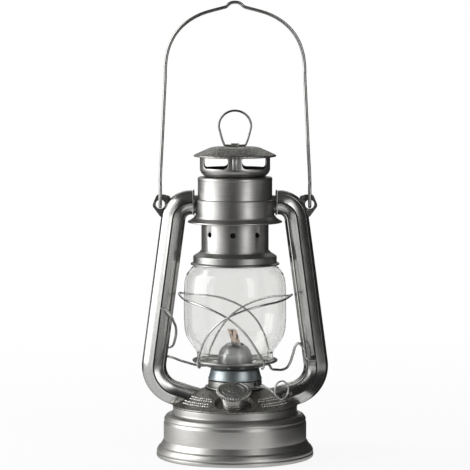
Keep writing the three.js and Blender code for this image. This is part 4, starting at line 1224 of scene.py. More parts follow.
@dataclass
class Wick(SubAssembly):
    """The flat cotton wick, whose burnt end leans over a little."""

    width: float = 12.0
    side_play: float = 0.2
    thickness: float = 2.4
    low: float = 24.0
    high: float = 104.4
    bends_from: float = 91.0
    cuts: int = 18
    lean: float = 4.7
    tip_shift: float = 1.2
    narrowing: float = 0.4
    bulge: float = 0.9
    tufts: int = 14
    tuft: Place = (0.28, 0.05, 2.4)
    tuft_leans: Range = (16.0, 22.0)

    def build_tuft(self, i: int) -> Obj:
        """One loose fibre at the wick's burnt end, set unevenly by sines of its number.

        Args:
            i: its number, from 0.

        Returns:
            The fibre.
        """
        share = i / (self.tufts - 1) - 0.5
        across = self.tip_shift - self.lean + share * self.width * (1 - self.narrowing) * 0.9
        wide, narrow, length = (size * MM for size in self.tuft)
        start_clear()
        bpy.ops.mesh.primitive_cone_add(vertices=6, radius1=wide, radius2=narrow, depth=length)
        sideways, forwards = self.tuft_leans
        return moved(bpy.context.object, shift(0, 0, 0.9),
                     turn(sideways * math.sin(i * 2.3) - 5, "Y"),
                     turn(forwards * math.sin(i * 1.7), "X"),
                     shift(across, 0.5 + 0.6 * math.sin(i * 3.1),
                           self.high - 1.3 - 0.3 * math.sin(i * 1.3)))

    def bend_over(self, strip: Obj) -> None:
        """Narrows the strip's free end, leans it over and frays its edge.

        Args:
            strip: the wick's strip.
        """
        for vertex in strip.data.vertices:
            height = vertex.co.z / MM
            if height <= self.bends_from:
                continue
            share = (height - self.bends_from) / (self.high - self.bends_from)
            neck = min(share * 4, 1)
            vertex.co.x *= 1 - self.narrowing * neck
            vertex.co.x += (self.tip_shift * neck - self.lean * share ** 1.3) * MM
            vertex.co.y += self.bulge * math.sin(share * 2.6) * share * MM
            if height > self.high - 1.5:
                vertex.co.z += 0.3 * (math.sin(vertex.co.x / MM * 2.1) - 1) * MM

    def build(self) -> None:
        """Builds the wick from a box, divided along its free end and bent over there."""
        strip = moved(block((self.width - self.side_play, self.thickness, self.high - self.low)),
                      shift(0, 0, (self.high + self.low) / 2))
        modified(strip, "BEVEL", width=0.6 * MM, segments=3)
        for height in np.linspace(self.bends_from, self.high - 0.6, self.cuts):
            pick_only(strip)
            edit_all()
            bpy.ops.mesh.bisect(plane_co=(0, 0, height * MM), plane_no=(0, 0, 1))
            set_mode("OBJECT")
        self.bend_over(strip)
        strip = joined("cotton_wick", [strip, *(self.build_tuft(i) for i in range(self.tufts))])
        moved(strip, turn(BURNER_YAW, "Z"))
        self.fit(smooth_shaded(strip, ROUND_SMOOTH_ANGLE), Finish.COTTON, "wick", "wick")


@dataclass
class WickShaft(SubAssembly):
    """The wick's wire shaft with its round knob."""

    wire: float = 0.7
    reach: float = 45.2
    knob: float = 7.5
    ring_start: float = -90.0
    ring_sweep: float = 298.8
    ring_steps: int = 18
    ring_slant: float = -0.33
    ring_drop: float = 1.2
    shaft: Outline = (
        (-8, 0, 0), (10, 0, 0), (26, 0, 0), (30, 0, -0.4), (34.5, 0, -2.2), (39, 0, -5.0),
        (42.4, 0, -7.6))
    strand: Outline = (
        (40.2, -5.6, -2.2), (36.0, -3.4, -0.4), (31.0, -1.5, 0.9), (28.2, -0.7, 1.3),
        (26.6, -0.4, 1.38))

    def build(self) -> None:
        """Bends the shaft, its knob and the strand that runs back, from one wire."""
        ring = []
        for i in range(self.ring_steps + 1):
            across, up = on_circle(
                self.knob, self.ring_start + self.ring_sweep * i / self.ring_steps)
            ring.append((self.reach - across * self.ring_slant, across, up - self.ring_drop))
        shaft = bent_wire("wick_knob_shaft", [*self.shaft, *ring, *self.strand], self.wire)
        moved(shaft, shift(0, -SHAFT_OFFSET, SHAFT_HEIGHT), turn(BURNER_YAW, "Z"))
        self.fit(shaft, Finish.KNOB_WIRE, "wick_shaft", "wick_shaft")


@dataclass
class GlobeCarriage(SubAssembly):
    """What rises with the glass: plate, burner dome, glass and the crossed guard."""

    tray: Outline = (
        (16.2, 73.1), (20.6, 73.1, 1.4), (33.0, 77.6, 1.6), (34.3, 77.9, 0.6),
        (35.0, 78.9, 0.7), (34.8, 79.75, 0.4), (34.0, 79.75, 0.4), (33.6, 78.9, 0.5),
        (32.6, 78.2, 1), (20.4, 73.8, 1.2), (16.2, 73.8))
    holes: int = 14
    hole: float = 1.7
    hole_circle: float = 26.6
    hole_height: float = 76.0
    hole_depth: float = 14.0
    dome: float = 14.0
    dome_height: float = 80.6
    dome_foot: Outline = (
        (18.6, 74.1), (18.6, 74.7, 0.3), (15.2, 75.0, 0.8), (14.2, 76.4, 1))
    flame_slot: Place = (15.4, 4.6, 20)
    flame_slot_height: float = 92.0
    glass: float = 1.6
    glass_outline: Outline = (
        (31.2, 79.1, 0.4), (31.2, 85.9, 4), (35.0, 91.6, 6), (37.9, 95.6, 8), (40.0, 99.4, 10),
        (41.3, 104.5, 14), (41.9, 114.6, 30), (41.8, 134.9, 30), (41.2, 144.6, 14),
        (39.6, 150.1, 8), (35.6, 155.2, 5), (32.5, 158.1, 3), (31.9, 163.6, 0.4))
    guard_yaw: float = -8.5
    guard_wire: float = 0.85
    guard_reach: float = 138.0
    guard_neck: float = 36.2
    guard_foot: float = 80.6
    guard_height: float = 52.9
    guard_tips: Range = (46.2, 46.7)
    guard_over_glass: Range = (43.5, 45.6)
    guard_hook: Outline = ((33.9, 75.2), (35.4, 75.3), (36.2, 76.1), (36.2, 80.6))
    # For each point from a loop's tip to its foot: its shares of the sideways reach, of the
    # height, of the way from the glass to the tip, and of the way in to the plate's rim
    guard_points: Outline = (
        (0, 1, 1, 0), (0.1, 0.97, 0.4, 0), (0.22, 0.935, 0, 0), (0.34, 0.91, 0, 0),
        (0.45, 0.87, 0, 0), (0.56, 0.8, 0, 0), (0.66, 0.7, 0, 0), (0.75, 0.56, 0, 0.05),
        (0.84, 0.36, 0, 0.3), (0.92, 0.17, 0, 0.68), (0.98, 0.05, 0, 0.94))

    def build_plate(self) -> None:
        """The dished, perforated plate with its rolled rim."""
        plate = turned("globe_tray", self.tray, 128)
        for i in range(self.holes):
            cut(plate, moved(drum(self.hole, self.hole_depth, 20),
                             shift(self.hole_circle, 0, self.hole_height),
                             turn(360 * i / self.holes, "Z")))
        self.fit(smooth_shaded(plate, CUT_SMOOTH_ANGLE), Finish.PLATE, "globe_plate",
                 "globe_plate")

    def dome_arc(self, radius: float, angles: Iterable[float]) -> list[Corner]:
        """Points of the burner dome's round side at the given angles."""
        return [(across, self.dome_height + up)
                for across, up in (on_circle(radius, angle) for angle in angles)]

    def build_flame_dome(self) -> None:
        """The burner dome with its slot."""
        inside = self.dome - SHEET
        corners = [
            *self.dome_foot, *self.dome_arc(self.dome, range(0, 90, 6)),
            (0.0, self.dome_height + self.dome), (0.0, self.dome_height + inside),
            *self.dome_arc(inside, range(84, -1, -12)), (inside, 76, 0.8), (15, 74.2, 0.4)]
        dome = turned("flame_dome", corners, 96)
        cut(dome, moved(block(self.flame_slot), shift(0, 0, self.flame_slot_height),
                        turn(BURNER_YAW, "Z")))
        self.fit(smooth_shaded(dome, CUT_SMOOTH_ANGLE), Finish.FLAME_DOME, "burner_dome",
                 "burner_dome")

    def build_glass(self) -> None:
        """The lamp glass."""
        outer = rounded(self.glass_outline, 5)
        inner = [(r - self.glass, z) for r, z in reversed(outer)]
        globe = turned("lamp_glass_globe", [*outer, *inner], shade=ROUND_SMOOTH_ANGLE)
        self.fit(globe, Finish.GLASS, "globe", "globe")

    def guard_side(self, middle: float, side: int, outside: int) -> list[Place]:
        """One side of a guard loop, from its tip to the hook at its foot.

        Args:
            middle: the tip's angle in degrees.
            side: 1 or -1, the way it goes round.
            outside: 1 for the loop that crosses over the other one.

        Returns:
            The places.
        """
        places = []
        over, tip = self.guard_over_glass[outside], self.guard_tips[outside]
        for turned_by, raised, swell, neck in self.guard_points:
            radius = over + (tip - over) * swell
            radius += (self.guard_neck - radius) * neck
            places.append((*on_circle(radius, middle + side * self.guard_reach * turned_by),
                           self.guard_foot + self.guard_height * raised))
        foot = [(*on_circle(radius, middle + side * self.guard_reach), height)
                for radius, height in self.guard_hook]
        return [*places, *reversed(foot)]

    def build_guard(self) -> None:
        """The two crossed loops of the guard."""
        for outside, (side, middle) in enumerate((("left", 180.0), ("right", 0.0))):
            one = self.guard_side(middle + self.guard_yaw, 1, outside)
            other = self.guard_side(middle + self.guard_yaw, -1, outside)
            loop = bent_wire("guard_loop_" + side, [*reversed(one), *other[1:]], self.guard_wire)
            self.fit(loop, Finish.BRIGHT_WIRE, "guard_wires", "guard_wire_" + side)

    def build(self) -> None:
        """Builds the carriage."""
        self.build_plate()
        self.build_flame_dome()
        self.build_glass()
        self.build_guard()


@dataclass
class LiftLever(SubAssembly):
    """The bent wire that raises the globe."""

    wire: float = 1.05
    thumb: Outline = (
        (-60.6, -11.5, 42.9), (-57.3, -11.4, 41.6), (-54, -11, 38.5), (-50.2, -5, 30.7),
        (-48.4, 0.5, 24.3), (-49.3, 5.5, 14.9), (-52.3, 9.2, 8.4), (-58.6, 12.2, 7.2))
    crank: Outline = (
        (-67.2, 0.6, 5.2), (-67.4, 0, 0.4), (-64.4, 0, 0), (-58.4, 0, 0), (-55.6, 0, 0),
        (-45.6, 7.5, -4.55), (-28.5, 20, -9.35), (-21, 24.3, -7.2), (-17, 25, -6.95),
        (17, 25, -6.95), (19, 25, -6.95), (24.7, 21.5, -7.95))
    hump: Outline = (
        (30.1, 11, -10.2), (33.3, 6, -10.3), (41.7, -2, -8.2), (44.4, -4, -4.6), (47.6, -7, 5),
        (49.5, -8.6, 11.2), (51.7, -9.8, 13.4), (54, -11.4, 12.2), (56.8, -12.6, 6.8))
    end: Outline = ((59.0, -0.6, 1.6), (62.0, 0, 0), (67.6, 0, 0))

    def level(self, places: Sequence[Place]) -> list[Place]:
        """Places given across, back and up from the lever's axis."""
        return [(x, y, LEVER_HEIGHT + up) for x, y, up in places]

    def along(self, places: Sequence[Place]) -> list[Place]:
        """Turns places on the lever's slanting axis into places in the lantern.

        Args:
            places: along the axis, across it to the back, and up from it.

        Returns:
            The places.
        """
        cosine, sine = on_circle(1, -LEVER_YAW)
        return self.level([(along * cosine - across * sine, along * sine + across * cosine, up)
                           for along, across, up in places])

    def build(self) -> None:
        """Bends the lever from its thumb hook to its right end."""
        places = [*self.level(self.thumb), *self.along(self.crank), *self.level(self.hump),
                  *self.along(self.end)]
        self.fit(bent_wire("globe_lift_lever", places, self.wire), Finish.BRIGHT_WIRE,
                 "lift_lever", "lift_lever")


@dataclass
class SideTubes(SubAssembly):
    """The lobed side tubes, their flanges at the hood, the lever's eyes and the bail's ears."""

    top: float = 209.0
    start_x: float = 34.7
    elbow_x: float = 35.8
    elbow_radius: float = 15.1
    elbow_steps: int = 14
    lean: float = 7.6
    leg_bottom: float = 77.3
    bend_radius: float = 23.7
    bend_steps: int = 16
    entry_drop: float = 17.5
    entry_run: float = 27.0
    # Half of the tube's section, as (depth, towards the lantern's middle)
    section: Outline = (
        (0.0, -9.6), (1.9, -9.2), (3.5, -8.45), (4.8, -7.5), (5.15, -7.1), (5.25, -6.8),
        (5.6, -6.75), (6.3, -5.9), (7.45, -4.2), (8.5, -2.35), (9.4, -0.5), (8.5, -0.15),
        (8.5, 0.35), (9.1, 0.75), (8.5, 2.5), (7.75, 4.3), (6.75, 6.1), (5.5, 7.75),
        (5.65, 8.35), (5.0, 8.8), (4.4, 8.85), (3.1, 9.6), (1.6, 10.2), (0.0, 10.4))
    smooth_angle: float = 32.0
    flange_x: float = 33.1
    flange: float = 1.3
    flange_brim: float = 0.4
    neck: Place = (7.6, 7.1, 4.6)
    neck_x: float = 31.3
    neck_drop: float = 2.0
    ear: Outline = (
        (53, 213.6), (52.6, 211), (50.6, 205), (58, 200), (60.2, 196.6), (61.3, 197.0),
        (67.0, 204.8), (67.3, 206.2), (66.9, 207.8), (64.4, 213.8), (63.0, 215), (57.4, 215))
    ear_thickness: float = 1.0
    ear_hole: float = 3.7
    ear_hole_place: Place = (61, 0, 207)
    eye: Outline = ((1.3, -2.2, 0.1), (2.1, -2.2, 0.3), (2.1, 2.2, 0.3), (1.3, 2.2, 0.1))
    eye_tab: Place = (6.4, 0.8, 4.4)
    eye_tab_offset: float = 1.7
    eye_places: Range = (-61.4, 64.8)

    def start(self, name: str, grow: float, x: float) -> Obj:
        """Draws the tube's section at the hood's side, standing across X.

        Args:
            name: the piece's name.
            grow: how far the section is let out, in millimetres.
            x: where it stands, in millimetres.

        Returns:
            The piece, in edit mode with everything selected.
        """
        places = []
        for depth, middle in [*self.section, *((-d, m) for d, m in self.section[-2:0:-1])]:
            share = 1 + grow / math.hypot(depth, middle)
            places.append((x, depth * share, self.top - middle * share))
        obj = flat_face(name, places)
        edit_all()
        return obj

    def stations(self) -> list[tuple[float, float, float]]:
        """The tube's way: elbow, leaning leg, lower bend and the run into the dome.

        Returns:
            (x, z, angle) of each section, in millimetres and radians.
        """
        lean, drop = math.radians(self.lean), math.radians(self.entry_drop)
        way = [(self.elbow_x, self.top, 0.0)]
        for i in range(1, self.elbow_steps + 1):
            angle = (math.pi / 2 - lean) * i / self.elbow_steps
            way.append((self.elbow_x + self.elbow_radius * math.sin(angle),
                        self.top - self.elbow_radius * (1 - math.cos(angle)), angle))
        x, z, angle = way[-1]
        foot = x + (z - self.leg_bottom) * math.tan(lean)
        way += [(x + (foot - x) * t, z + (self.leg_bottom - z) * t, angle)
                for t in (0.25, 0.5, 0.75)]
        across = foot - self.bend_radius * math.cos(lean)
        up = self.leg_bottom - self.bend_radius * math.sin(lean)
        for i in range(self.bend_steps + 1):
            phi = lean - (math.pi / 2 + lean - drop) * i / self.bend_steps
            way.append((across + self.bend_radius * math.cos(phi),
                        up + self.bend_radius * math.sin(phi), math.pi / 2 - phi))
        x, z, angle = way[-1]
        run = self.entry_run
        return [*way, (x - run * math.cos(drop), z - run * math.sin(drop), angle)]

    def build_tube(self) -> Obj:
        """Draws out the right tube along its way.

        Returns:
            The tube.
        """
        obj = self.start("side_tube_drawn_right", 0.0, self.start_x)
        here, before = Vector((self.start_x, 0, self.top)) * MM, 0.0
        for x, z, angle in self.stations():
            there = Vector((x, 0, z)) * MM
            bpy.ops.mesh.extrude_region_move(TRANSFORM_OT_translate={"value": there - here})
            if angle != before:
                edit = bmesh.from_edit_mesh(obj.data)
                bmesh.ops.rotate(edit, cent=there, matrix=Matrix.Rotation(angle - before, 3, "Y"),
                                 verts=[vertex for vertex in edit.verts if vertex.select])
                bmesh.update_edit_mesh(obj.data)
            here, before = there, angle
        tidy_shell(obj)
        return smooth_shaded(obj, self.smooth_angle)

    def build_flange(self) -> Obj:
        """The flange and short neck where the right tube enters the hood.

        Returns:
            The flange.
        """
        obj = self.start("tube_flange_right", self.flange_brim, self.flange_x)
        bpy.ops.mesh.extrude_region_move(
            TRANSFORM_OT_translate={"value": (self.flange * MM, 0, 0)})
        tidy_shell(obj)
        softened(obj, 0.3)
        height, depth, length = self.neck
        neck = moved(drum(1, length, 48), Matrix.Diagonal((height, depth, 1, 1)),
                     turn(90, "Y"), shift(self.neck_x, 0, self.top - self.neck_drop))
        return smooth_shaded(joined(obj.name, [obj, neck]), CUT_SMOOTH_ANGLE)

    def build_ear(self) -> Obj:
        """The right bail ear: a stamped plate with its hole.

        Returns:
            The ear.
        """
        ear = sheet_piece("bail_ear_plate_right", self.ear, self.ear_thickness)
        cut(ear, moved(drum(self.ear_hole, 6, 40), turn(90, "X"), shift(*self.ear_hole_place)))
        return smooth_shaded(softened(ear, 0.22, 40), CUT_SMOOTH_ANGLE)

    def build_eye(self, name: str, side: int, along: float) -> Obj:
        """A bent strip eye round the lever.

        Args:
            name: the eye's name.
            side: -1 for the eye behind the left tube, 1 for the right one.
            along: its place on the lever's axis, in millimetres.

        Returns:
            The eye.
        """
        tab = moved(block(self.eye_tab), shift(0, side * self.eye_tab_offset, 0))
        modified(tab, "BEVEL", width=0.2 * MM, segments=2)
        obj = joined(name, [turned("eye", self.eye, 40), tab])
        moved(obj, turn(90, "Y"), shift(along, 0, LEVER_HEIGHT), turn(-LEVER_YAW, "Z"))
        return smooth_shaded(obj, CUT_SMOOTH_ANGLE)

    def build(self) -> None:
        """Builds both sides."""
        for build_right, finish, slot, node in (
                (self.build_tube, Finish.TUBE, "side_tubes", "side_tube_"),
                (self.build_flange, Finish.FLANGE, "tube_collars", "tube_collar_"),
                (self.build_ear, Finish.EAR, "bail_ears", "bail_ear_")):
            right = build_right()
            left = mirrored(right, right.name.replace("right", "left"))
            self.fit(right, finish, slot, node + "right")
            self.fit(left, finish, slot, node + "left")
        for end, side, along in zip(("left", "right"), (-1, 1), self.eye_places):
            self.fit(self.build_eye("lever_clip_" + end, side, along), Finish.FLANGE,
                     "lever_eyes", "lever_eye_" + end)


@dataclass
class Hood(SubAssembly):
    """The hood that the tubes enter, and its flared skirt."""

    wall: Outline = (
        (32.2, 196.4), (32.2, 210.4, 0.3), (31.9, 210.8, 0.3), (30.4, 211.2, 0.4),
        (30.4, 226.6, 0.2), (30.55, 227.0, 0.2), (30.55, 228.4, 1.0), (29.6, 229.5, 1.2),
        (24.6, 229.5, 0.3), (24.4, 228.8), (28.9, 228.8, 1), (29.7, 227, 1), (29.7, 211.8, 0.5),
        (31.5, 210.2, 0.5), (31.5, 196.4))
    skirt: Outline = (
        (38.0, 192.2, 0.2), (38.7, 192.5, 0.4), (38.5, 193.3, 0.6), (36.0, 194.6, 2.5),
        (33.9, 196.1, 1.4), (33.2, 197.2, 0.6), (33.2, 197.8), (32.5, 197.8), (32.5, 196.6, 1),
        (35.4, 194.1, 2.5), (37.8, 192.9))

    def build(self) -> None:
        """Builds the hood and the skirt."""
        self.fit_turned("hood_drum", self.wall, 144, Finish.HOOD, "hood")
        self.fit_turned("hood_flare", self.skirt, 144, Finish.HOOD, "hood_skirt")


@dataclass
class Spring(SubAssembly):
    """The coil between chimney and hood, which shortens as the chimney is pulled up."""

    wire: float = 0.6
    mean: float = 26.1
    turns: int = 4
    steps: int = 12
    low: float = 200.3
    high: float = 227.6
    fixed_end: float = 228.5
    travel: float = 12.0

    def build(self) -> None:
        """Winds the coil."""
        count = self.turns * self.steps
        places = [(*on_circle(self.mean, 360 * i / self.steps),
                   self.low + (self.high - self.low) * i / count) for i in range(count + 1)]
        coil = self.fit(bent_wire("chimney_coil", places, self.wire, sides=2, steps=2),
                        Finish.BRIGHT_WIRE, "chimney_spring", "chimney_spring")
        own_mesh(coil)


@dataclass
class Chimney(SubAssembly):
    """The sliding chimney with its collar on the glass, its windowed crown and its cap."""

    radius: float = 27.5
    wall: Outline = (
        (27.5, 165.2), (27.5, 198.0, 0.4), (26.1, 199.4, 1.2), (23.5, 199.4), (23.5, 198.7),
        (25.6, 198.7, 1), (26.8, 197.4), (26.8, 165.2))
    draft: Outline = ((23.2, 196.2, 0.2), (23.2, 233.4, 0.3), (22.5, 233.4, 0.3), (22.5, 196.2))
    holes: int = 8
    hole: float = 2.3
    hole_yaw: float = -93.5
    hole_height: float = 183.3
    hole_depth: float = 12.0
    collar: Outline = (
        (35.4, 157.6, 0.3), (36.4, 157.9, 0.4), (36.3, 158.8, 0.4), (34.9, 159.4, 0.5),
        (34.2, 160.0, 0.4), (34.2, 164.4, 0.4), (33.7, 165.1, 0.5), (30.2, 167.3, 1),
        (28.8, 168.3, 0.5), (28.5, 169.2, 0.2), (27.9, 169.2), (27.9, 167.8, 0.6),
        (33.5, 164.3, 0.6), (33.5, 159.6, 0.5), (35.2, 158.4))
    crown: float = 28.7
    crown_wall: Outline = (
        (24.2, 229.9), (25.0, 230.2, 0.5), (27.3, 232.4, 1.2), (28.5, 234.6, 1.2),
        (28.7, 236, 1), (28.7, 247.9), (28.0, 247.9), (28.0, 236.2, 1), (26.6, 232.9, 1),
        (23.8, 230.9))
    window_middle: float = 36.85
    window_angle: float = 49.1
    window_heights: Range = (236.8, 245.4)
    window_fillets: Range = (5.2, 1.6)
    window_depth: float = 16.0
    fold: float = 0.75
    fold_length: float = 10.2
    fold_height: float = 241.5
    fold_angle: float = 2.6
    cap: Outline = (
        (32.6, 245.9, 0.2), (33.7, 246.2, 0.5), (33.6, 247.2, 0.6), (32.2, 248.0, 1),
        (26.5, 250.6, 6), (20.6, 253.2, 2.4), (17.2, 253.9, 1.6), (0, 253.9), (0, 253.2),
        (17, 253.2, 1.5), (20.4, 252.5, 2), (26.2, 249.9, 6), (31.8, 247.4, 0.6))
    saddle: Outline = (
        (-5.3, 254.2), (-1.1, 254.2), (-1.1, 255.0), (-0.8, 255.8), (0, 256.1), (0.8, 255.8),
        (1.1, 255.0), (1.1, 254.2), (5.3, 254.2), (5.3, 255.0), (1.95, 255.0), (1.75, 255.9),
        (1.2, 256.6), (0, 256.9), (-1.2, 256.6), (-1.75, 255.9), (-1.95, 255.0), (-5.3, 255.0))
    saddle_width: float = 6.4
    saddle_bevel: float = 0.12

    def build_tube(self) -> None:
        """The drum with its row of holes, and the draft tube inside."""
        tube = turned("chimney_drum", self.wall, 144)
        for i in range(self.holes):
            cut(tube, moved(drum(self.hole, self.hole_depth, 24), turn(90, "Y"),
                            shift(self.radius, 0, self.hole_height),
                            turn(self.hole_yaw + 360 * i / self.holes, "Z")))
        self.fit_lined(softened(tube, 0.22), "chimney")
        # The draft tube inside the flue is dressed all in painted shade
        self.fit_turned("inner_draft_tube", self.draft, 96, Finish.INSIDE_SHADE, "draft_tube")

    def fit_lined(self, obj: Obj, node: str) -> None:
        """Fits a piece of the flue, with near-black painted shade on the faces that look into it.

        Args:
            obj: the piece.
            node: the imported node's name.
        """
        self.fit(smooth_shaded(obj, CUT_SMOOTH_ANGLE), Finish.HOOD, node, node)
        obj.data.materials.append(finish_of(Finish.INSIDE_SHADE))
        for face in obj.data.polygons:
            out = Vector((face.center.x, face.center.y, 0)).normalized()
            if face.normal.dot(out) < -0.5:
                face.material_index = 1

    def window(self) -> list[tuple[float, float]]:
        """A window's outline, with its lower corners well rounded.

        Returns:
            (across, up) of its points in millimetres.
        """
        half = math.radians(self.window_angle / 2) * self.crown
        (low, high), (wide, narrow) = self.window_heights, self.window_fillets
        return rounded([(0, high), (-half, high, narrow), (-half, low, wide), (half, low, wide),
                        (half, high, narrow), (0, high)], 8)[1:]

    def build_crown(self) -> None:
        """The windowed ring under the cap, with its folded seams."""
        ring = turned("windowed_crown", self.crown_wall, 144)
        for middle in (-90, 90):
            for angle in (middle - self.window_middle, middle + self.window_middle):
                cut(ring, moved(sheet_piece("window", self.window(), self.window_depth),
                                turn(90, "Z"), shift(self.crown, 0, 0), turn(angle, "Z")))
        self.fit_lined(softened(ring, 0.16), "crown")
        for name, side in (("crown_seam_front", -90), ("crown_seam_back", 90)):
            seam = joined(name, [self.build_fold(-self.fold_angle),
                                 self.build_fold(self.fold_angle)])
            seam = smooth_shaded(moved(seam, turn(side, "Z")), ROUND_SMOOTH_ANGLE)
            self.fit(seam, Finish.TUBE, "crown")

    def build_fold(self, angle: float) -> Obj:
        """One half-round fold of the crown's seam.

        Args:
            angle: where it stands on the crown, in degrees.

        Returns:
            The fold.
        """
        fold = moved(drum(self.fold, self.fold_length, 20),
                     shift(self.crown, 0, self.fold_height), turn(angle, "Z"))
        return softened(fold, 0.5, segments=3)

    def build(self) -> None:
        """Builds the chimney, its collar, its crown, and the cap with the ring's saddle."""
        self.build_tube()
        self.fit_turned("glass_collar", self.collar, 144, Finish.COLLAR, "globe_collar")
        self.build_crown()
        self.fit_turned("top_cap", self.cap, 144, Finish.CAP, "cap")
        saddle = sheet_piece("ring_saddle", self.saddle, self.saddle_width, self.saddle_bevel)
        self.fit(moved(saddle, turn(90, "Z")), Finish.COLLAR, "ring_strap", "ring_strap")


@dataclass
class LidRing(SubAssembly):
    """The wire ring on the cap."""

    wire: float = 0.9
    middle: float = 271.0
    half_width: float = 13.1
    rise: float = 12.4
    # Half of the ring's lower bend, from its end under the saddle
    bend: Outline = ((0.4, 0, 255.0), (6, 0, 255.0), (8.2, 0, 255.3), (9.1, 0, 256.6))

    def build(self) -> None:
        """Bends the ring."""
        arch = [(self.half_width * across, 0, self.middle + self.rise * up)
                for across, up in (on_circle(1, angle) for angle in range(200, -21, -20))]
        places = [*((-x, y, z) for x, y, z in self.bend), *arch, *reversed(self.bend)]
        self.fit(bent_wire("finger_ring", places, self.wire), Finish.RING, "lid_ring",
                 "lid_ring")


@dataclass
class Bail(SubAssembly):
    """The carrying handle: one wire with a loop at each end and a hump in its middle."""

    wire: float = 1.35
    hole_x: float = 61.0
    loop_height: float = 208.65
    gap: float = 3.75
    leg_foot: float = 226.5
    leg_top: tuple[float, float] = (56.9, 308.0)
    arch_top: float = 366.7
    arch_narrowing: float = 0.95
    arch_rise: float = 0.72
    hump_from: float = 11.8
    hump: Outline = ((10.4, 0, 366.8), (7.5, 0, 367.7), (4.6, 0, 370.2), (2.1, 0, 371.2))
    hump_top: Place = (0, 0, 371.35)
    # (back, up) of the wire's free end above its loop, and of its way out of the loop
    free_end: Outline = ((1.1, 223.4), (2.0, 221.2), (3.75, 216.4))
    way_out: Outline = ((-3.75, 215.6), (-2.6, 221.0), (0, 226.5))

    def half(self) -> list[Place]:
        """The right half, from the loop's free end to the hump.

        Returns:
            Places on the wire's middle line.
        """
        loop = [(self.gap * math.cos(math.pi * i / 8),
                 self.loop_height - self.gap * math.sin(math.pi * i / 8)) for i in range(9)]
        places = [(self.hole_x, back, up) for back, up in (*self.free_end, *loop, *self.way_out)]
        x, z = self.leg_top
        foot = self.leg_foot
        places += [(self.hole_x + (x - self.hole_x) * t, 0, foot + (z - foot) * t)
                   for t in (0.3, 0.65, 1)]
        for i in range(1, 10):
            across, up = on_circle(1, 9 * i)
            across = x * across ** self.arch_narrowing
            if across > self.hump_from:
                places.append((across, 0, z + (self.arch_top - z) * up ** self.arch_rise))
        return [*places, *self.hump]

    def build(self) -> None:
        """Bends the whole bail."""
        half = self.half()
        places = [*half, self.hump_top, *((-x, y, z) for x, y, z in reversed(half))]
        self.fit(bent_wire("carrying_bail", places, self.wire), Finish.BAIL, "bail", "bail")


# The studio


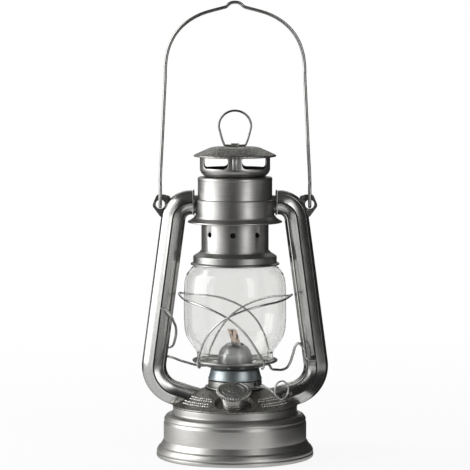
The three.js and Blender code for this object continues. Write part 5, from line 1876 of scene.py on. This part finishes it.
class Studio:
    """The pale floor, the soft lamps, the grey cards and the camera."""

    camera_distance = 2.133
    camera_height = 0.352
    aim_height = 0.1818
    lens = 200.5
    sensor = 36.0
    clipping = (0.05, 40.0)
    floor_radius = 6.0
    floor_drop = 0.0002
    floor_grey = (0.9, 0.9, 0.9, 1)
    floor_glow = 0.88
    shadow_reach = (0.25, 0.9)
    world_level = 0.5
    lamp_aim = (0.0, 0.0, 0.18)
    card_steps = 24
    far = 1.9
    top = 2.4
    low = 0.001
    ceiling_shade = 0.1
    # Name, place, width and height in metres, and power in watts
    lamps = (
        ("left_softbox", (-1.55, -0.1, 0.75), (1.25, 1.7), 23.0),
        ("right_strip", (0.93, -1.24, 0.6), (0.42, 1.5), 3.6),
        ("top_softbox", (0.0, 1.5, 1.05), (1.2, 0.6), 4.5),
    )
    # Name, both ends in degrees from the camera's side towards the right, both edges as distance
    # from the lantern and height in metres, and the card's grey
    cards = (
        ("front_card", (-48, 22), (far, 0.0), (far, top), 0.03),
        ("right_card", (52, 158), (far, 0.0), (far, top), 0.03),
        ("front_floor_card", (-60, 50), (0.22, low), (0.37, low), 0.07),
        ("right_floor_card", (50, 150), (0.1, low), (0.37, low), 0.04),
        ("far_front_floor_card", (-30, 30), (0.37, low), (far, low), 0.07),
        ("far_side_floor_card", (30, 90), (0.37, low), (far, low), 0.5),
        ("far_right_floor_card", (90, 178), (0.37, low), (far, low), 0.04),
        ("far_left_floor_card", (-178, -112), (0.37, low), (far, low), 0.04),
        ("left_tube_card", (-64, -48), (1.88, 0.13), (1.88, 0.45), 2.2),
        ("left_edge_card", (-178, -116), (1.88, 0.13), (1.88, 0.5), 0.02),
        ("left_back_card", (-152, -128), (far, 0.0), (far, top), 0.5),
        ("left_far_card", (-176, -152), (far, 0.0), (far, top), 0.5),
        ("right_far_card", (158, 176), (far, 0.0), (far, top), 0.1),
    )

    def aimed(self, obj: Obj, place: Place, aim: Place) -> None:
        """Links a lamp or a camera into the scene.

        Args:
            obj: the lamp or camera.
            place: where it stands, in metres.
            aim: the point it faces.
        """
        bpy.context.scene.collection.objects.link(obj)
        obj.location = place
        obj.rotation_mode = "QUATERNION"
        obj.rotation_quaternion = (Vector(aim) - Vector(place)).to_track_quat("-Z", "Y")

    def build_camera(self) -> None:
        """Places the camera at the photograph's viewing angle."""
        data = bpy.data.cameras.new("studio_camera")
        data.lens, data.sensor_width = self.lens, self.sensor
        data.clip_start, data.clip_end = self.clipping
        camera = bpy.data.objects.new("studio_camera", data)
        self.aimed(camera, (0.0, -self.camera_distance, self.camera_height),
                   (0.0, 0.0, self.aim_height))
        bpy.context.scene.camera = camera

    def build_floor(self) -> None:
        """Lays a round white floor that keeps a faint shadow near the lantern."""
        start_clear()
        bpy.ops.mesh.primitive_circle_add(vertices=96, radius=self.floor_radius,
                                          fill_type="NGON", location=(0, 0, -self.floor_drop))
        floor = named("studio_floor")
        material, tree, shader = new_material("white_floor")
        send(tree, shader, Base_Color=self.floor_grey, Roughness=0.9, Specular_IOR_Level=0.0)
        away = add_node(tree, "VectorMath", operation="LENGTH", Vector=own_place(tree))
        share = ramp(tree, away.outputs["Value"], self.shadow_reach, (self.floor_glow, 1.0))
        glow = add_node(tree, "Emission", Strength=1.0)
        both = tree.nodes.new("ShaderNodeMixShader")
        feed(tree, both.inputs[0], product(tree, self.seen_straight(tree), share))
        feed(tree, both.inputs[1], shader.outputs[0])
        feed(tree, both.inputs[2], glow.outputs[0])
        send(tree, tree.nodes["Material Output"], Surface=both.outputs[0])
        floor.data.materials.append(material)

    def seen_straight(self, tree: Tree) -> Socket:
        """One for rays from the camera, a mirror or the glass, and nought for the rest.

        Args:
            tree: the node tree.

        Returns:
            The output.
        """
        path = add_node(tree, "LightPath").outputs
        seen = math_node(tree, "ADD", path["Is Camera Ray"], path["Is Transmission Ray"])
        return math_node(tree, "ADD", seen, path["Is Glossy Ray"])

    def build_world(self) -> None:
        """A plain world, white where it is seen straight, in metal or through glass."""
        world = bpy.data.worlds.new("studio_world")
        bpy.context.scene.world = world
        world.use_nodes = True
        tree = world.node_tree
        send(tree, tree.nodes["Background"], Color=(1, 1, 1, 1),
             Strength=ramp(tree, self.seen_straight(tree), (0.0, 1.0), (self.world_level, 1.0)))

    def build_lamps(self) -> None:
        """Places the soft rectangular lamps."""
        for name, place, size, power in self.lamps:
            data = bpy.data.lights.new(name, "AREA")
            data.shape, data.energy = "RECTANGLE", power
            data.size, data.size_y = size
            self.aimed(bpy.data.objects.new(name, data), place, self.lamp_aim)

    def card(self, name: str, bearings: Range, near: Range, off: Range, shade: float) -> None:
        """Sets up one curved grey card, upright or on the floor.

        Args:
            name: the card's name.
            bearings: its two ends, in degrees from the camera's side towards the right.
            near: its nearer or lower edge, as distance and height in metres.
            off: its other edge.
            shade: its grey.
        """
        start_clear()
        bpy.ops.mesh.primitive_grid_add(x_subdivisions=self.card_steps, y_subdivisions=1, size=2)
        obj = named(name)
        for vertex in obj.data.vertices:
            across, out = (vertex.co.x + 1) / 2, (vertex.co.y + 1) / 2
            bearing = math.radians(bearings[0] + (bearings[1] - bearings[0]) * across)
            radius = near[0] + (off[0] - near[0]) * out
            vertex.co = (radius * math.sin(bearing), -radius * math.cos(bearing),
                         near[1] + (off[1] - near[1]) * out)
        self.paint_card(obj, shade)

    def paint_card(self, obj: Obj, shade: float) -> None:
        """Gives a card its plain grey, and hides it from all but polished metal.

        Args:
            obj: the card.
            shade: its grey.
        """
        material, tree, _ = new_material(obj.name)
        glow = add_node(tree, "Emission", Strength=1.0, Color=(shade, shade, shade, 1))
        send(tree, tree.nodes["Material Output"], Surface=glow.outputs[0])
        obj.data.materials.append(material)
        obj.visible_camera = obj.visible_shadow = False
        obj.visible_transmission = obj.visible_diffuse = False

    def build(self) -> None:
        """Builds the studio."""
        self.build_camera()
        self.build_floor()
        self.build_world()
        self.build_lamps()
        for card in self.cards:
            self.card(*card)
        start_clear()
        bpy.ops.mesh.primitive_circle_add(vertices=48, radius=self.far, fill_type="NGON",
                                          location=(0, 0, self.top))
        self.paint_card(named("ceiling_card"), self.ceiling_shade)
        bpy.context.scene.view_settings.view_transform = "Standard"


def main() -> None:
    """Builds the lantern's pieces in order, then the studio."""
    global effects
    effects = Effects()
    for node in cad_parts.values():
        dress(node, Finish.TANK)
    for name in ("burner_collar", "wick_tube", "wick_wheel_left", "wick_wheel_right"):
        dress(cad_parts[name], Finish.BRASS)
    groups = [
        Tank("frame"), AirDome("frame"), Filler("frame"), ScrewCap("filler_cap"),
        Gasket("filler_gasket"), Burner("frame"), Wick("wick"), WickShaft("wick_shaft"),
        GlobeCarriage("globe_carriage"), LiftLever("lift_lever"), SideTubes("frame"),
        Hood("frame"), Spring("frame"), Chimney("chimney"), LidRing("lid_ring"), Bail("bail"),
    ]
    for group in groups:
        group.build()
    Studio().build()


if __name__ == "__main__":
    main()
